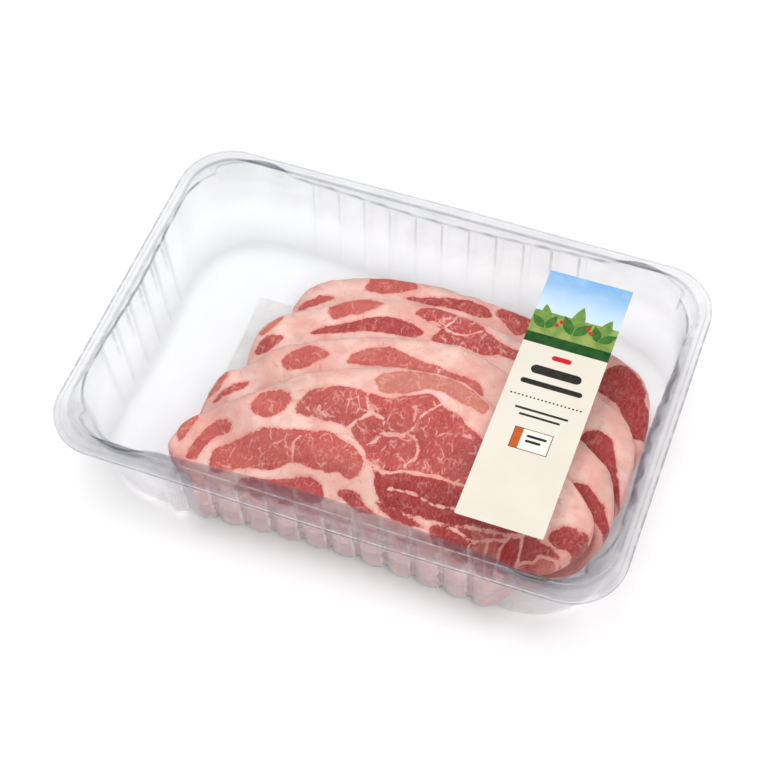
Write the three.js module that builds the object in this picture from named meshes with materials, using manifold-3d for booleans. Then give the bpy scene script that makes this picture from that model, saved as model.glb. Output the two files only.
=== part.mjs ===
// A sealed meat tray pack: a clear thermoformed tray with fluted walls, four shingled slices of pork neck
// on an absorbent pad, a clear lidding film over the rim, and a paper label on the film.
// Millimetres, +Z up. The origin is under the middle of the tray, on the surface that it stands on.

import * as THREE from "three";
import * as BufferGeometryUtils from "three/addons/utils/BufferGeometryUtils.js";
import Module from "manifold-3d";

const wasm = await Module();
wasm.setup();

// The tray: its outer lip is 260 x 183 mm, and its sealing land stands 53 mm high.
const LIP = { halfX: 130, halfY: 91, radius: 25, bow: 0.5 };
const LAND_TOP = 53;
const LIP_TOP = 50.6;
const LIP_TURN_DOWN = 1.3;
const LIP_EDGE_ROUND = 0.4;
const SHEET = 0.7;
const RISER = { halfX: 123.6, halfY: 84.2, radius: 22 };
const RISER_SPREAD = 0.6;
const MOUTH = { halfX: 121.8, halfY: 81.2, radius: 30, pullX: 1.6, pullY: 3.2 };
const WALL_TAPER = 0.06;
const BOTTOM_RADIUS = 35;
const BOTTOM_FILLET = 6;
const FILLET_MIDDLE = Math.SQRT1_2;
const WALL_INSET = 0.2;

// The flutes: narrow ribs that stand in from pockets pressed outwards between them.
const FLUTE_PITCH = 13.2;
const RIBS_LONG_SIDE = 11;
const RIBS_SHORT_SIDE = 5;
const RIB_CREST_HALF = 1.0;
const RIB_FOOT_HALF = 2.4;
const POCKET_DEPTH = 2.0;
const POCKET_CROWN = 0.5;
const POCKET_TOP_RUN = 2;
const POCKET_TOP_SHARE = 0.65;
const POCKET_LOW_SHARE = 0.85;
const POCKET_FLOOR_SHARE = 0.3;

// The ears: a shallow stacking pocket in each corner, sharp at its short-side end.
const EAR_DEPTH = 3.6;
const EAR_START = 0.47;
const EAR_RISE = 0.09;
const EAR_TAIL = 14;
const EAR_FLOOR = 45.2;
const EAR_FLOOR_RUN = 1.4;

const CORNER_STEPS = 8;
const PLAIN_STEPS = 2;

// The contents: the pad, and slices that climb over those under them within the drape's reach.
const PAD = { halfX: 82.5, halfY: 44, radius: 3, thickness: 1.2, centre: [0, 0] };
const SLICE_THICKNESS = 11;
const SLICE_EDGE = 3;
const DRAPE_REACH = 26;
const DRAPE_CLEAR = 5;
const LAYER_GAP = 0.8;
const TOUCH_GAP = 0.3;

// Each slice's outline seen from above, from the back slice to the front one that lies over the others.
const SLICE_OUTLINES = [
  [[-63, 42], [-57, 55], [-36, 66], [-8, 72], [22, 71.5], [54, 68], [88, 62], [106, 53], [114, 38], [115, 5],
    [96, -12], [50, -16], [0, -16], [-38, -8], [-58, 12]],
  [[-71, 8], [-65, 21], [-47, 34], [-28, 46], [-4, 51], [24, 51], [50, 46], [84, 32], [106, 21], [115, 6],
    [115, -22], [98, -36], [50, -40], [0, -40], [-42, -34], [-66, -14]],
  [[-81, -36], [-80.5, -24], [-75, -14.5], [-63, -8.5], [-48, 2], [-30, 12], [-6, 21], [20, 26], [44, 22],
    [72, 8], [98, -7], [112, -19], [115.5, -34], [108, -52], [92, -66], [58, -73], [0, -73.5], [-52, -73.5],
    [-76, -64], [-82, -50]],
  [[-84, -60], [-82.5, -48], [-76, -39.5], [-62, -33.5], [-50, -25.5], [-34, -18.5], [-15, -9], [6, -1.5],
    [34, 1], [58, -10], [88, -25], [106, -36], [110, -46], [95, -64], [60, -73.5], [0, -74], [-52, -74],
    [-76, -69]],
];
const OUTLINE_STEPS = 34;
const FACE_RINGS = [0.3, 0.52, 0.7, 0.85];

// The lid.
const FILM_THICKNESS = 0.2;
const FILM = { halfX: 124.2, halfY: 84.6, radius: 22.4 };
const PLATE_CORNER_STEPS = 8;
const LABEL = { width: 38.8, length: 135, thickness: 0.2, centre: [74, 0] };

const CLEAR_PLASTIC = { color: 0xe6ebee, roughness: 0.08, metalness: 0, transparent: true, opacity: 0.3 };
const CLEAR_FILM = { color: 0xf4f7f8, roughness: 0.05, metalness: 0, transparent: true, opacity: 0.15 };
const RAW_PORK = { color: 0xd98a86, roughness: 0.4, metalness: 0 };
const PAD_PAPER = { color: 0xe4e8e4, roughness: 0.9, metalness: 0 };
const LABEL_PAPER = { color: 0xf6f1e2, roughness: 0.5, metalness: 0 };

function smoothstep(from, to, value) {
  const share = Math.min(1, Math.max(0, (value - from) / (to - from)));
  return share * share * (3 - 2 * share);
}

function namedMesh(name, geometry, finish) {
  const mesh = new THREE.Mesh(geometry, new THREE.MeshStandardMaterial(finish));
  mesh.name = name;
  return mesh;
}

// A closed body from a grid of rings: each ring joins the next, and the first and last close with a fan.
function closedRings(rings, firstCentre, lastCentre) {
  const count = rings[0].length;
  const points = rings.flat().concat([firstCentre, lastCentre]);
  const faces = [];
  for (let ring = 0; ring + 1 < rings.length; ring += 1) {
    for (let step = 0; step < count; step += 1) {
      const a = ring * count + step;
      const b = ring * count + ((step + 1) % count);
      faces.push(a, b, a + count, b, b + count, a + count);
    }
  }
  const last = (rings.length - 1) * count;
  const firstIndex = rings.length * count;
  for (let step = 0; step < count; step += 1) {
    const next = (step + 1) % count;
    faces.push(firstIndex, next, step);
    faces.push(firstIndex + 1, last + step, last + next);
  }
  const geometry = new THREE.BufferGeometry();
  geometry.setAttribute("position", new THREE.Float32BufferAttribute(points.flat(), 3));
  geometry.setIndex(faces);
  return geometry;
}

// Where the ribs and the plain ends of a side have their points, from one end of its straight to the other.
function sideStations(ribCount, straightHalf) {
  const first = (-(ribCount - 1) / 2) * FLUTE_PITCH;
  const stations = [];
  for (let rib = 0; rib < ribCount; rib += 1) {
    const centre = first + rib * FLUTE_PITCH;
    stations.push(centre - RIB_FOOT_HALF, centre - RIB_CREST_HALF);
    stations.push(centre + RIB_CREST_HALF, centre + RIB_FOOT_HALF);
    if (rib + 1 < ribCount) stations.push(centre + FLUTE_PITCH / 2);
  }
  const ends = [];
  for (let step = 0; step < PLAIN_STEPS; step += 1) {
    ends.push(-straightHalf + ((stations[0] + straightHalf) * step) / PLAIN_STEPS);
  }
  return [...ends, ...stations, ...ends.map((value) => -value).reverse()];
}

// How far a pocket between two ribs stands out, from 0 on a rib's crest to 1 between the ribs.
function pocketShare(along, ribCount) {
  const half = ((ribCount - 1) / 2) * FLUTE_PITCH;
  const beyond = Math.abs(along) - half;
  const toRib = beyond > 0 ? beyond : Math.abs(along - Math.round(along / FLUTE_PITCH) * FLUTE_PITCH);
  if (toRib > FLUTE_PITCH / 2) return 1 - smoothstep(FLUTE_PITCH / 2, FLUTE_PITCH, toRib);
  const crown = POCKET_CROWN * smoothstep(RIB_FOOT_HALF, FLUTE_PITCH / 2, toRib);
  return smoothstep(RIB_CREST_HALF, RIB_FOOT_HALF, toRib) + crown;
}

// One turn round the tray: every station lies on a side or on a corner arc of the ring.
function perimeterStations() {
  const straightX = MOUTH.halfX - BOTTOM_RADIUS;
  const straightY = MOUTH.halfY - BOTTOM_RADIUS;
  const longSide = sideStations(RIBS_LONG_SIDE, straightX);
  const shortSide = sideStations(RIBS_SHORT_SIDE, straightY);
  const sides = [
    { along: shortSide, ribs: RIBS_SHORT_SIDE, turn: 0, straight: straightY },
    { along: longSide, ribs: RIBS_LONG_SIDE, turn: 1, straight: straightX },
    { along: shortSide, ribs: RIBS_SHORT_SIDE, turn: 2, straight: straightY },
    { along: longSide, ribs: RIBS_LONG_SIDE, turn: 3, straight: straightX },
  ];
  const stations = [];
  for (const side of sides) {
    for (const along of side.along) stations.push({ ...side, along });
    for (let step = 1; step < CORNER_STEPS; step += 1) stations.push({ ...side, corner: step / CORNER_STEPS });
  }
  return stations;
}

// The ear's bulge by distance along the corner: it starts sharply and fades along the long side.
function earShare(station) {
  const towardsLong = station.turn % 2 === 0;
  if (station.corner !== undefined) {
    const share = towardsLong ? station.corner : 1 - station.corner;
    return smoothstep(EAR_START, EAR_START + EAR_RISE, share);
  }
  if (station.turn % 2 === 0) return 0;
  const fromEnd = station.straight - Math.abs(station.along);
  return 1 - smoothstep(0, EAR_TAIL, fromEnd);
}

// Where a station lies along its side: ribs keep their places, and the plain ends stretch to the corner.
function alongSide(station, straight) {
  const ribEnd = ((station.ribs - 1) / 2) * FLUTE_PITCH + RIB_FOOT_HALF;
  const beyond = Math.abs(station.along) - ribEnd;
  if (beyond <= 0) return station.along;
  const stretched = ribEnd + (beyond * (straight - ribEnd)) / (station.straight - ribEnd);
  return Math.sign(station.along) * stretched;
}

// A point of a ring: a rounded rectangle whose sides may bow, with flutes and ears pressed out of it.
function ringPoint(station, ring) {
  const longSide = station.turn % 2 === 1;
  const half = longSide ? ring.halfY : ring.halfX;
  const reach = longSide ? ring.halfX : ring.halfY;
  const ear = ring.ear * EAR_DEPTH * earShare(station);
  let out;
  let along;
  if (station.corner !== undefined) {
    const angle = (station.corner * Math.PI) / 2;
    out = half - ring.radius + (ring.radius + ear) * Math.cos(angle);
    along = reach - ring.radius + (ring.radius + ear) * Math.sin(angle);
  } else {
    const towardsEnd = (station.along / station.straight) * (Math.PI / 2);
    const bow = (longSide ? ring.bowY : ring.bowX) * Math.cos(towardsEnd) ** 2;
    const pocket = ring.flute * POCKET_DEPTH * pocketShare(station.along, station.ribs);
    out = half + bow + pocket + ear;
    along = alongSide(station, reach - ring.radius);
  }
  const turn = (station.turn * Math.PI) / 2;
  const x = out * Math.cos(turn) - along * Math.sin(turn);
  const y = out * Math.sin(turn) + along * Math.cos(turn);
  return [x, y, ring.z];
}

// The tray's wall at a height, inside the mouth's outline and under its land.
function wallRing(z, flute, ear, inset) {
  const drop = (LAND_TOP - z) / LAND_TOP;
  const lean = WALL_TAPER * (LAND_TOP - z) + inset;
  return {
    z,
    halfX: MOUTH.halfX - lean,
    halfY: MOUTH.halfY - lean,
    radius: MOUTH.radius + (BOTTOM_RADIUS - MOUTH.radius) * drop - inset,
    bowX: -MOUTH.pullX,
    bowY: -MOUTH.pullY,
    flute,
    ear,
  };
}

function plainRing(outline, z, grow, bow) {
  return {
    z,
    halfX: outline.halfX + grow,
    halfY: outline.halfY + grow,
    radius: outline.radius + grow,
    bowX: 0,
    bowY: bow,
    flute: 0,
    ear: 0,
  };
}

// The middle surface of the sheet, from the turned-down edge of the lip to the floor.
function trayRings() {
  const middle = SHEET / 2;
  return [
    plainRing(LIP, LIP_TOP - LIP_TURN_DOWN, -middle, LIP.bow),
    plainRing(LIP, LIP_TOP - middle, -middle - LIP_EDGE_ROUND, LIP.bow),
    plainRing(RISER, LIP_TOP - middle, RISER_SPREAD, 0),
    plainRing(RISER, LAND_TOP - middle, 0, 0),
    wallRing(LAND_TOP - middle, 0, 1, 0),
    wallRing(LAND_TOP - POCKET_TOP_RUN, POCKET_TOP_SHARE, 1, WALL_INSET),
    wallRing(EAR_FLOOR + EAR_FLOOR_RUN, 1, 1, WALL_INSET),
    wallRing(EAR_FLOOR, 1, 0, WALL_INSET),
    wallRing(BOTTOM_FILLET, 1, 0, WALL_INSET),
    wallRing(BOTTOM_FILLET * (1 - FILLET_MIDDLE), POCKET_LOW_SHARE, 0, BOTTOM_FILLET * (1 - FILLET_MIDDLE)),
    wallRing(middle, POCKET_FLOOR_SHARE, 0, BOTTOM_FILLET),
  ];
}

// Both faces of the sheet are its middle surface pushed out along its normals by half its thickness.
function trayGeometry() {
  const stations = perimeterStations();
  const pointAt = (station, ring) => new THREE.Vector3(...ringPoint(station, ring));
  const rings = trayRings().map((ring) => stations.map((station) => pointAt(station, ring)));
  const count = stations.length;
  const outer = [];
  const inner = [];
  rings.forEach((ring, level) => {
    const above = rings[Math.max(0, level - 1)];
    const below = rings[Math.min(rings.length - 1, level + 1)];
    const outerRing = [];
    const innerRing = [];
    ring.forEach((point, step) => {
      const ahead = ring[(step + 1) % count].clone().sub(ring[(step + count - 1) % count]);
      const down = level + 1 < rings.length ? below[step].clone().sub(above[step]) : new THREE.Vector3(0, 0, 0);
      let normal = down.cross(ahead).normalize();
      if (level + 1 === rings.length) normal = new THREE.Vector3(0, 0, -1);
      if (level === 0) normal = new THREE.Vector3().crossVectors(ahead, new THREE.Vector3(0, 0, 1)).normalize();
      outerRing.push(point.clone().addScaledVector(normal, SHEET / 2).toArray());
      innerRing.push(point.clone().addScaledVector(normal, -SHEET / 2).toArray());
    });
    outer.push(outerRing);
    inner.push(innerRing);
  });
  return closedRings([...outer.reverse(), ...inner], [0, 0, 0], [0, 0, SHEET]);
}

function roundedPlate(outline, bottom, thickness, centre) {
  const shape = new THREE.Shape();
  const straightX = outline.halfX - outline.radius;
  const straightY = outline.halfY - outline.radius;
  shape.absarc(straightX, straightY, outline.radius, 0, Math.PI / 2);
  shape.absarc(-straightX, straightY, outline.radius, Math.PI / 2, Math.PI);
  shape.absarc(-straightX, -straightY, outline.radius, Math.PI, 1.5 * Math.PI);
  shape.absarc(straightX, -straightY, outline.radius, 1.5 * Math.PI, 2 * Math.PI);
  const geometry = new THREE.ExtrudeGeometry(shape, {
    depth: thickness,
    bevelEnabled: false,
    curveSegments: PLATE_CORNER_STEPS,
  });
  geometry.translate(centre[0], centre[1], bottom);
  return geometry;
}

function labelGeometry(bottom) {
  const geometry = new THREE.BoxGeometry(LABEL.width, LABEL.length, LABEL.thickness);
  geometry.translate(LABEL.centre[0], LABEL.centre[1], bottom + LABEL.thickness / 2);
  return geometry;
}

function smoothOutline(points) {
  const curve = new THREE.CatmullRomCurve3(
    points.map(([x, y]) => new THREE.Vector3(x, y, 0)),
    true,
    "centripetal",
  );
  return curve.getSpacedPoints(OUTLINE_STEPS).slice(0, OUTLINE_STEPS).reverse();
}

// The distance from a point to an outline, above zero inside it.
function insideDistance(outline, x, y) {
  let nearest = Infinity;
  let inside = false;
  for (let step = 0; step < outline.length; step += 1) {
    const a = outline[step];
    const b = outline[(step + 1) % outline.length];
    const edgeX = b.x - a.x;
    const edgeY = b.y - a.y;
    const share = ((x - a.x) * edgeX + (y - a.y) * edgeY) / (edgeX * edgeX + edgeY * edgeY);
    const held = Math.min(1, Math.max(0, share));
    nearest = Math.min(nearest, Math.hypot(x - a.x - held * edgeX, y - a.y - held * edgeY));
    if (a.y > y !== b.y > y && x < a.x + ((y - a.y) / edgeY) * edgeX) inside = !inside;
  }
  return inside ? nearest : -nearest;
}

// A slice lies on the pad, and climbs over each slice under it within the drape's reach.
function restHeight(outlinesBelow, x, y) {
  const padTop = SHEET + TOUCH_GAP + PAD.thickness + TOUCH_GAP;
  const layer = SLICE_THICKNESS + LAYER_GAP;
  return outlinesBelow.reduce(
    (height, outline) => height + layer * smoothstep(-DRAPE_REACH, -DRAPE_CLEAR, insideDistance(outline, x, y)),
    padTop,
  );
}

// A slab with rounded edges between its resting face and its top face.
function sliceGeometry(outline, outlinesBelow) {
  const centre = outline.reduce((sum, point) => sum.add(point), new THREE.Vector3());
  centre.divideScalar(outline.length);
  const ringAt = (share, inset, lift) => outline.map((point) => {
    const spoke = point.clone().sub(centre);
    const reach = spoke.length() * share - inset;
    const at = spoke.setLength(reach).add(centre);
    return [at.x, at.y, restHeight(outlinesBelow, at.x, at.y) + lift];
  });
  const top = SLICE_THICKNESS;
  const chamfer = SLICE_EDGE * (1 - Math.SQRT1_2);
  const rings = [
    ...FACE_RINGS.map((share) => ringAt(share, 0, 0)),
    ringAt(1, SLICE_EDGE, 0),
    ringAt(1, chamfer, chamfer),
    ringAt(1, 0, SLICE_EDGE),
    ringAt(1, 0, top - SLICE_EDGE),
    ringAt(1, chamfer, top - chamfer),
    ringAt(1, SLICE_EDGE, top),
    ...[...FACE_RINGS].reverse().map((share) => ringAt(share, 0, top)),
  ];
  const rest = restHeight(outlinesBelow, centre.x, centre.y);
  return closedRings(rings, [centre.x, centre.y, rest], [centre.x, centre.y, rest + top]);
}

function asSolid(geometry) {
  const welded = BufferGeometryUtils.mergeVertices(geometry, 1e-4);
  return new wasm.Manifold(new wasm.Mesh({
    numProp: 3,
    vertProperties: new Float32Array(welded.attributes.position.array),
    triVerts: new Uint32Array(welded.index.array),
  }));
}

function asGeometry(solid) {
  const mesh = solid.getMesh();
  const geometry = new THREE.BufferGeometry();
  geometry.setAttribute("position", new THREE.BufferAttribute(mesh.vertProperties, 3));
  geometry.setIndex(new THREE.BufferAttribute(mesh.triVerts, 1));
  return geometry;
}

// Each slice is cut clear of the one that it lies on, which leaves the touch gap between their faces.
function meatSlices() {
  const outlines = SLICE_OUTLINES.map(smoothOutline);
  const slices = [];
  outlines.forEach((outline, index) => {
    let slab = asSolid(sliceGeometry(outline, outlines.slice(0, index)));
    for (const below of slices) slab = slab.subtract(below.translate([0, 0, TOUCH_GAP]));
    slices.push(slab);
  });
  return slices.map((slab, index) => namedMesh(`slice_${index + 1}`, asGeometry(slab), RAW_PORK));
}

function meatTrayPack() {
  const pack = new THREE.Group();
  const filmBottom = LAND_TOP + TOUCH_GAP;
  const labelBottom = filmBottom + FILM_THICKNESS + TOUCH_GAP;
  const pad = roundedPlate(PAD, SHEET + TOUCH_GAP, PAD.thickness, PAD.centre);
  const film = roundedPlate(FILM, filmBottom, FILM_THICKNESS, [0, 0]);
  pack.add(namedMesh("tray", trayGeometry(), CLEAR_PLASTIC));
  pack.add(namedMesh("absorbent_pad", pad, PAD_PAPER));
  pack.add(...meatSlices());
  pack.add(namedMesh("lid_film", film, CLEAR_FILM));
  pack.add(namedMesh("label", labelGeometry(labelBottom), LABEL_PAPER));
  return pack;
}

export default meatTrayPack();
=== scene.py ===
"""The looks of a sealed meat tray pack: a Blender add-on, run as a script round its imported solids."""

import math

import bmesh
import bpy
import numpy as np
from mathutils import Matrix, Vector


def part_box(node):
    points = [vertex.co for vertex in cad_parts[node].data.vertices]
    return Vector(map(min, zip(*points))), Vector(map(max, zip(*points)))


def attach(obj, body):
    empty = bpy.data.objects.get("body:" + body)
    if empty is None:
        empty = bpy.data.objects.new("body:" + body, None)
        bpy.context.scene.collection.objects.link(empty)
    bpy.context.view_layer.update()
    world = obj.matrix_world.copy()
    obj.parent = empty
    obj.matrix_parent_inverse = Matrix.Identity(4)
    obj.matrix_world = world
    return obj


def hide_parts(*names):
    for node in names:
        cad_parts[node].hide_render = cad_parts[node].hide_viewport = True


bl_info = {
    "name": "Meat Tray Pack",
    "version": (1, 0, 0),
    "blender": (4, 5, 0),
    "location": "3D View > Sidebar > Meat Tray",
    "description": "Builds a clear fluted tray of pork steaks under film, with a label",
    "category": "Object",
}

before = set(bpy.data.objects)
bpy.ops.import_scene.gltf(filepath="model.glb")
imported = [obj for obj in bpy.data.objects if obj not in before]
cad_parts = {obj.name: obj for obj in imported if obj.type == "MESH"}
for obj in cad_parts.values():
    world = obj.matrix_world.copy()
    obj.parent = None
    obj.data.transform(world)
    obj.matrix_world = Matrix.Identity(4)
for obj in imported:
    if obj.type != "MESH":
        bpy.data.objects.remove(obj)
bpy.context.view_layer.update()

MM = 0.001
WHOLE = "root"

# The tray, in millimetres, as its solid has it.
LIP = {"half_x": 130.0, "half_y": 91.0, "radius": 25.0, "bow": 0.5}
RISER = {"half_x": 123.6, "half_y": 84.2, "radius": 22.0, "bow": 0.0}
MOUTH = {"half_x": 121.8, "half_y": 81.2, "radius": 30.0, "pull_x": 1.6, "pull_y": 3.2}
LAND_TOP = 53.0
LIP_TOP = 50.6
WALL_TAPER = 0.06
BOTTOM_RADIUS = 35.0
BOTTOM_FILLET = 6.0
FLUTE_PITCH = 13.2
RIBS_LONG_SIDE = 11
RIBS_SHORT_SIDE = 5
RIB_CREST_HALF = 1.0
RIB_FOOT_HALF = 2.4
POCKET_DEPTH = 2.0
POCKET_CROWN = 0.5
EAR_DEPTH = 3.6
EAR_START = 0.47
EAR_RISE = 0.05
EAR_TAIL = 14.0
EAR_FLOOR = 45.2
POCKET_TOP = 50.45

# The pad and the steaks, in millimetres: the steaks' outlines from above, back to front, as their solids
# have them.
PAD_TOP = 2.5
DIMPLE_DEPTH = 0.4
STEAK_THICKNESS = 11.0
STEAK_EDGE = 3.0
LAYER_GAP = 0.8
DRAPE_REACH = 26.0
DRAPE_CLEAR = 5.0
STEAK_OUTLINES = {
    "slice_1": [
        (-63, 42), (-57, 55), (-36, 66), (-8, 72), (22, 71.5), (54, 68), (88, 62), (106, 53),
        (114, 38), (115, 5), (96, -12), (50, -16), (0, -16), (-38, -8), (-58, 12),
    ],
    "slice_2": [
        (-71, 8), (-65, 21), (-47, 34), (-28, 46), (-4, 51), (24, 51), (50, 46), (84, 32),
        (106, 21), (115, 6), (115, -22), (98, -36), (50, -40), (0, -40), (-42, -34), (-66, -14),
    ],
    "slice_3": [
        (-81, -36), (-80.5, -24), (-75, -14.5), (-63, -8.5), (-48, 2), (-30, 12), (-6, 21), (20, 26),
        (44, 22), (72, 8), (98, -7), (112, -19), (115.5, -34), (108, -52), (92, -66), (58, -73),
        (0, -73.5), (-52, -73.5), (-76, -64), (-82, -50),
    ],
    "slice_4": [
        (-84, -60), (-82.5, -48), (-76, -39.5), (-62, -33.5), (-50, -25.5), (-34, -18.5), (-15, -9),
        (6, -1.5), (34, 1), (58, -10), (88, -25), (106, -36), (110, -46), (95, -64), (60, -73.5),
        (0, -74), (-52, -74), (-76, -69),
    ],
}

# The muscles of each steak: a tone from pale (0) to deep red (1) and on to bright red, and an outline from
# above in millimetres.
MUSCLES = {
    "slice_1": {
        "island": (0.5, [
            (-34, 59), (-32, 66), (-24, 70), (-15, 69.5), (-10, 67), (-16, 62), (-24, 58.5), (-31, 57)]),
        "back_band": (0.75, [
            (-14, 59), (-4, 62.5), (7, 66), (18, 67.5), (26, 65.5), (29.5, 62), (24, 60), (10, 60),
            (-3, 58.5)]),
        "right_oval": (0.65, [(30, 65), (33, 69), (40, 68.5), (48, 67), (48, 59), (43, 56), (36, 60)]),
        "left_strip": (0.45, [(-60, 35), (-58, 42), (-50, 48.5), (-46, 48.5), (-53, 41)]),
        "end_eye": (0.95, [
            (89, 38), (89, 50), (95, 55.5), (103, 52), (109, 46), (111, 38.5), (116, 33), (117, 20),
            (111, 18), (106, 25), (99, 33), (93, 36)]),
    },
    "slice_2": {
        "island": (0.35, [
            (-42, 32), (-39, 38), (-31, 43), (-24, 45), (-19, 44), (-24, 38), (-31, 33), (-38, 28.5)]),
        "arched_band": (0.75, [
            (-45, 17), (-40, 23), (-30, 29), (-22, 35), (-10, 38), (0, 37), (4.5, 34.5), (2, 31),
            (-8, 29), (-20, 27), (-35, 20.5)]),
        "left_end": (0.6, [(-67, 1), (-65, 8), (-60, 11), (-56, 11), (-58, 5), (-62, 0)]),
        "left_rim": (0.2, [(-68, 10), (-65, 16), (-61, 21.5), (-63, 14), (-66, 9)]),
        "upper_mass": (0.62, [
            (-3, 44), (0, 48), (8, 50.5), (18, 49), (26, 48.5), (31, 45.5), (41, 41), (57, 38.5),
            (51, 34.5), (43, 34.5), (35, 31.5), (28, 32.5), (20, 33), (15, 30), (10, 31.5), (9, 35),
            (12, 39), (4, 41.5)]),
        "pale_tail": (0.05, [(22, 22), (28, 26.5), (34, 30), (37, 29), (36, 24), (31, 21)]),
        "end_eye": (0.9, [
            (90, 2), (91, 7), (98, 9.5), (104, 6), (107, 0), (110, -8), (113, -15), (116, -21),
            (110, -17), (103, -10), (96, -4)]),
    },
    "slice_3": {
        "island": (0.4, [
            (-48, -9), (-45, -2), (-39, 3), (-33, 3.5), (-29, 1.5), (-32, -4), (-38, -10), (-44, -13),
            (-47, -11)]),
        "arched_band": (0.32, [
            (-20, 0), (-18, 6), (-12, 11), (-3, 13.5), (8, 12), (20, 11), (30, 9), (38, 9), (43, 6),
            (44, 2.5), (39, 2), (30, 4), (18, 6), (5, 4.5), (-6, 2), (-14, 0.5)]),
        "stripes": (0.8, [(41, 0), (46, 0), (51, -3), (54, -9), (50, -11), (47, -5)]),
        "left_end": (0.45, [(-77, -17.5), (-74, -15.5), (-72, -16.5), (-73, -20.5), (-75, -23)]),
        "left_tip": (0.1, [(-79.5, -28), (-78, -22.5), (-75, -20.5), (-73.5, -22.5), (-76, -26)]),
        "sliver": (0.6, [(-75, -30), (-70, -24), (-65, -20), (-61, -19), (-64, -24), (-70, -28)]),
        "end_eye": (0.95, [
            (91, -29), (94, -25), (101, -24), (108, -27), (112, -31), (116, -38), (117, -43), (110, -37),
            (103, -34), (97, -30)]),
    },
    "slice_4": {
        "crescent": (0.5, [
            (-72.3, -65), (-72.8, -59), (-72, -52), (-69, -45), (-64, -42.7), (-59.7, -43.4),
            (-57.7, -46), (-60, -47.7), (-64, -50), (-66.6, -55.5), (-67.5, -60.3), (-67.5, -63.6)]),
        "double_lobe": (0.44, [
            (-62, -61), (-62, -56), (-57, -52), (-48, -47), (-40, -44), (-32, -42.5), (-22, -40),
            (-14, -38), (-5, -40), (2, -43), (6, -48), (5.5, -52), (1, -55), (-3, -53), (-7, -54.5),
            (-14, -54.8), (-21, -54), (-26, -54.5), (-33, -58.5), (-43, -60), (-52, -64), (-59, -64.5)]),
        "island": (0.4, [
            (-52.4, -35.3), (-51, -30.5), (-47, -27.4), (-41, -26.6), (-36.5, -27), (-35.2, -29.5),
            (-37, -34), (-40, -38), (-45, -40), (-50, -38.7)]),
        "front_oval": (0.65, [
            (-46, -66), (-36, -63), (-25, -60), (-15, -58), (-9, -60), (-7, -64), (-16, -68), (-30, -70),
            (-44, -69)]),
        "front_sliver": (0.75, [
            (-2, -60), (2, -58), (8, -59), (12, -62), (18, -63.5), (12, -64.5), (4, -63)]),
        "main_eye": (0.55, [
            (-32, -33), (-29, -26), (-22, -23), (-12, -21.5), (-2, -20), (6, -19.5), (14, -16.5),
            (22, -12), (27, -12), (33, -16), (39, -17), (46, -22), (55, -27), (63, -34), (70, -41),
            (78, -48), (83, -54), (76, -56.5), (66, -57), (54, -58.5), (40, -60), (27, -60), (18, -59),
            (14, -55), (12, -50), (7, -46), (4, -41), (-2, -37.5), (-6, -34.5), (-12, -34), (-20, -34),
            (-27, -31.5)]),
        "upper_left_eye": (0.45, [(-32, -33), (-22, -23), (-3, -20), (-1, -26), (-4, -32), (-20, -34)]),
        "lower_eye": (0.92, [
            (13, -50), (20, -48), (28, -47), (40, -46), (56, -48), (70, -50), (80, -55), (66, -57),
            (40, -60), (27, -60), (18, -58.5)]),
        "deep_stripe": (0.95, [(16, -59.5), (24, -60), (33, -61.5), (42, -63.5), (33, -63.5), (23, -63)]),
        "rib_bed": (0.72, [
            (42, -62), (52, -59.5), (66, -58.5), (77, -57), (90, -55.5), (99, -58), (101, -62),
            (96, -66.5), (86, -69.5), (72, -69.5), (57, -68), (45, -66)]),
        "low_red": (0.9, [(44, -62), (50, -60), (57, -62), (62, -63.5), (56, -65), (49, -65)]),
        "swirl": (0.3, [(62, -60), (67, -60), (73, -63), (71, -66), (65, -64)]),
        "marrow": (1.15, [(77, -58), (80, -59), (81.5, -63), (79.5, -67), (76, -65), (75, -61)]),
        "rib_side": (0.9, [(82, -56), (90, -55.5), (92, -58), (88, -63), (84, -63)]),
        "pink_oval": (0.2, [(91, -63), (95, -61), (99, -61), (99, -63), (94, -65)]),
        "end_eye": (0.85, [
            (92, -53), (95, -49), (100, -46.5), (106, -47), (112, -49), (111, -54), (108, -58),
            (104, -55.5), (96, -55)]),
        "left_rim": (0.3, [
            (-82, -52), (-80.5, -44.5), (-77, -40.5), (-76, -44), (-77.3, -52), (-79, -58)]),
        "pale_tail": (0.0, [
            (-1, -13), (0, -8.5), (6, -5), (16, -2), (28, -1), (36, -2), (46, -6), (51, -9.5),
            (49, -13.5), (44, -12), (38, -11.5), (33, -9.5), (25, -8.5), (18, -12), (9, -16.5),
            (3, -17)]),
    },
}
# How strongly the fat lines show in the muscles, from 0 to 1.
LIGHT_MARBLING = 0.4
HEAVY_MARBLING = {
    "main_eye": 0.7, "upper_left_eye": 0.85, "upper_mass": 0.75, "double_lobe": 0.6, "arched_band": 0.5,
}
# The steaks whose front edge lies against the tray's front wall, the room between them, and how far back from
# that edge the meat is moved, in millimetres.
PRESSED_STEAKS = ("slice_3", "slice_4")
WALL_CLEARANCE = 0.9
PRESSED_REACH = 14.0
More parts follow.
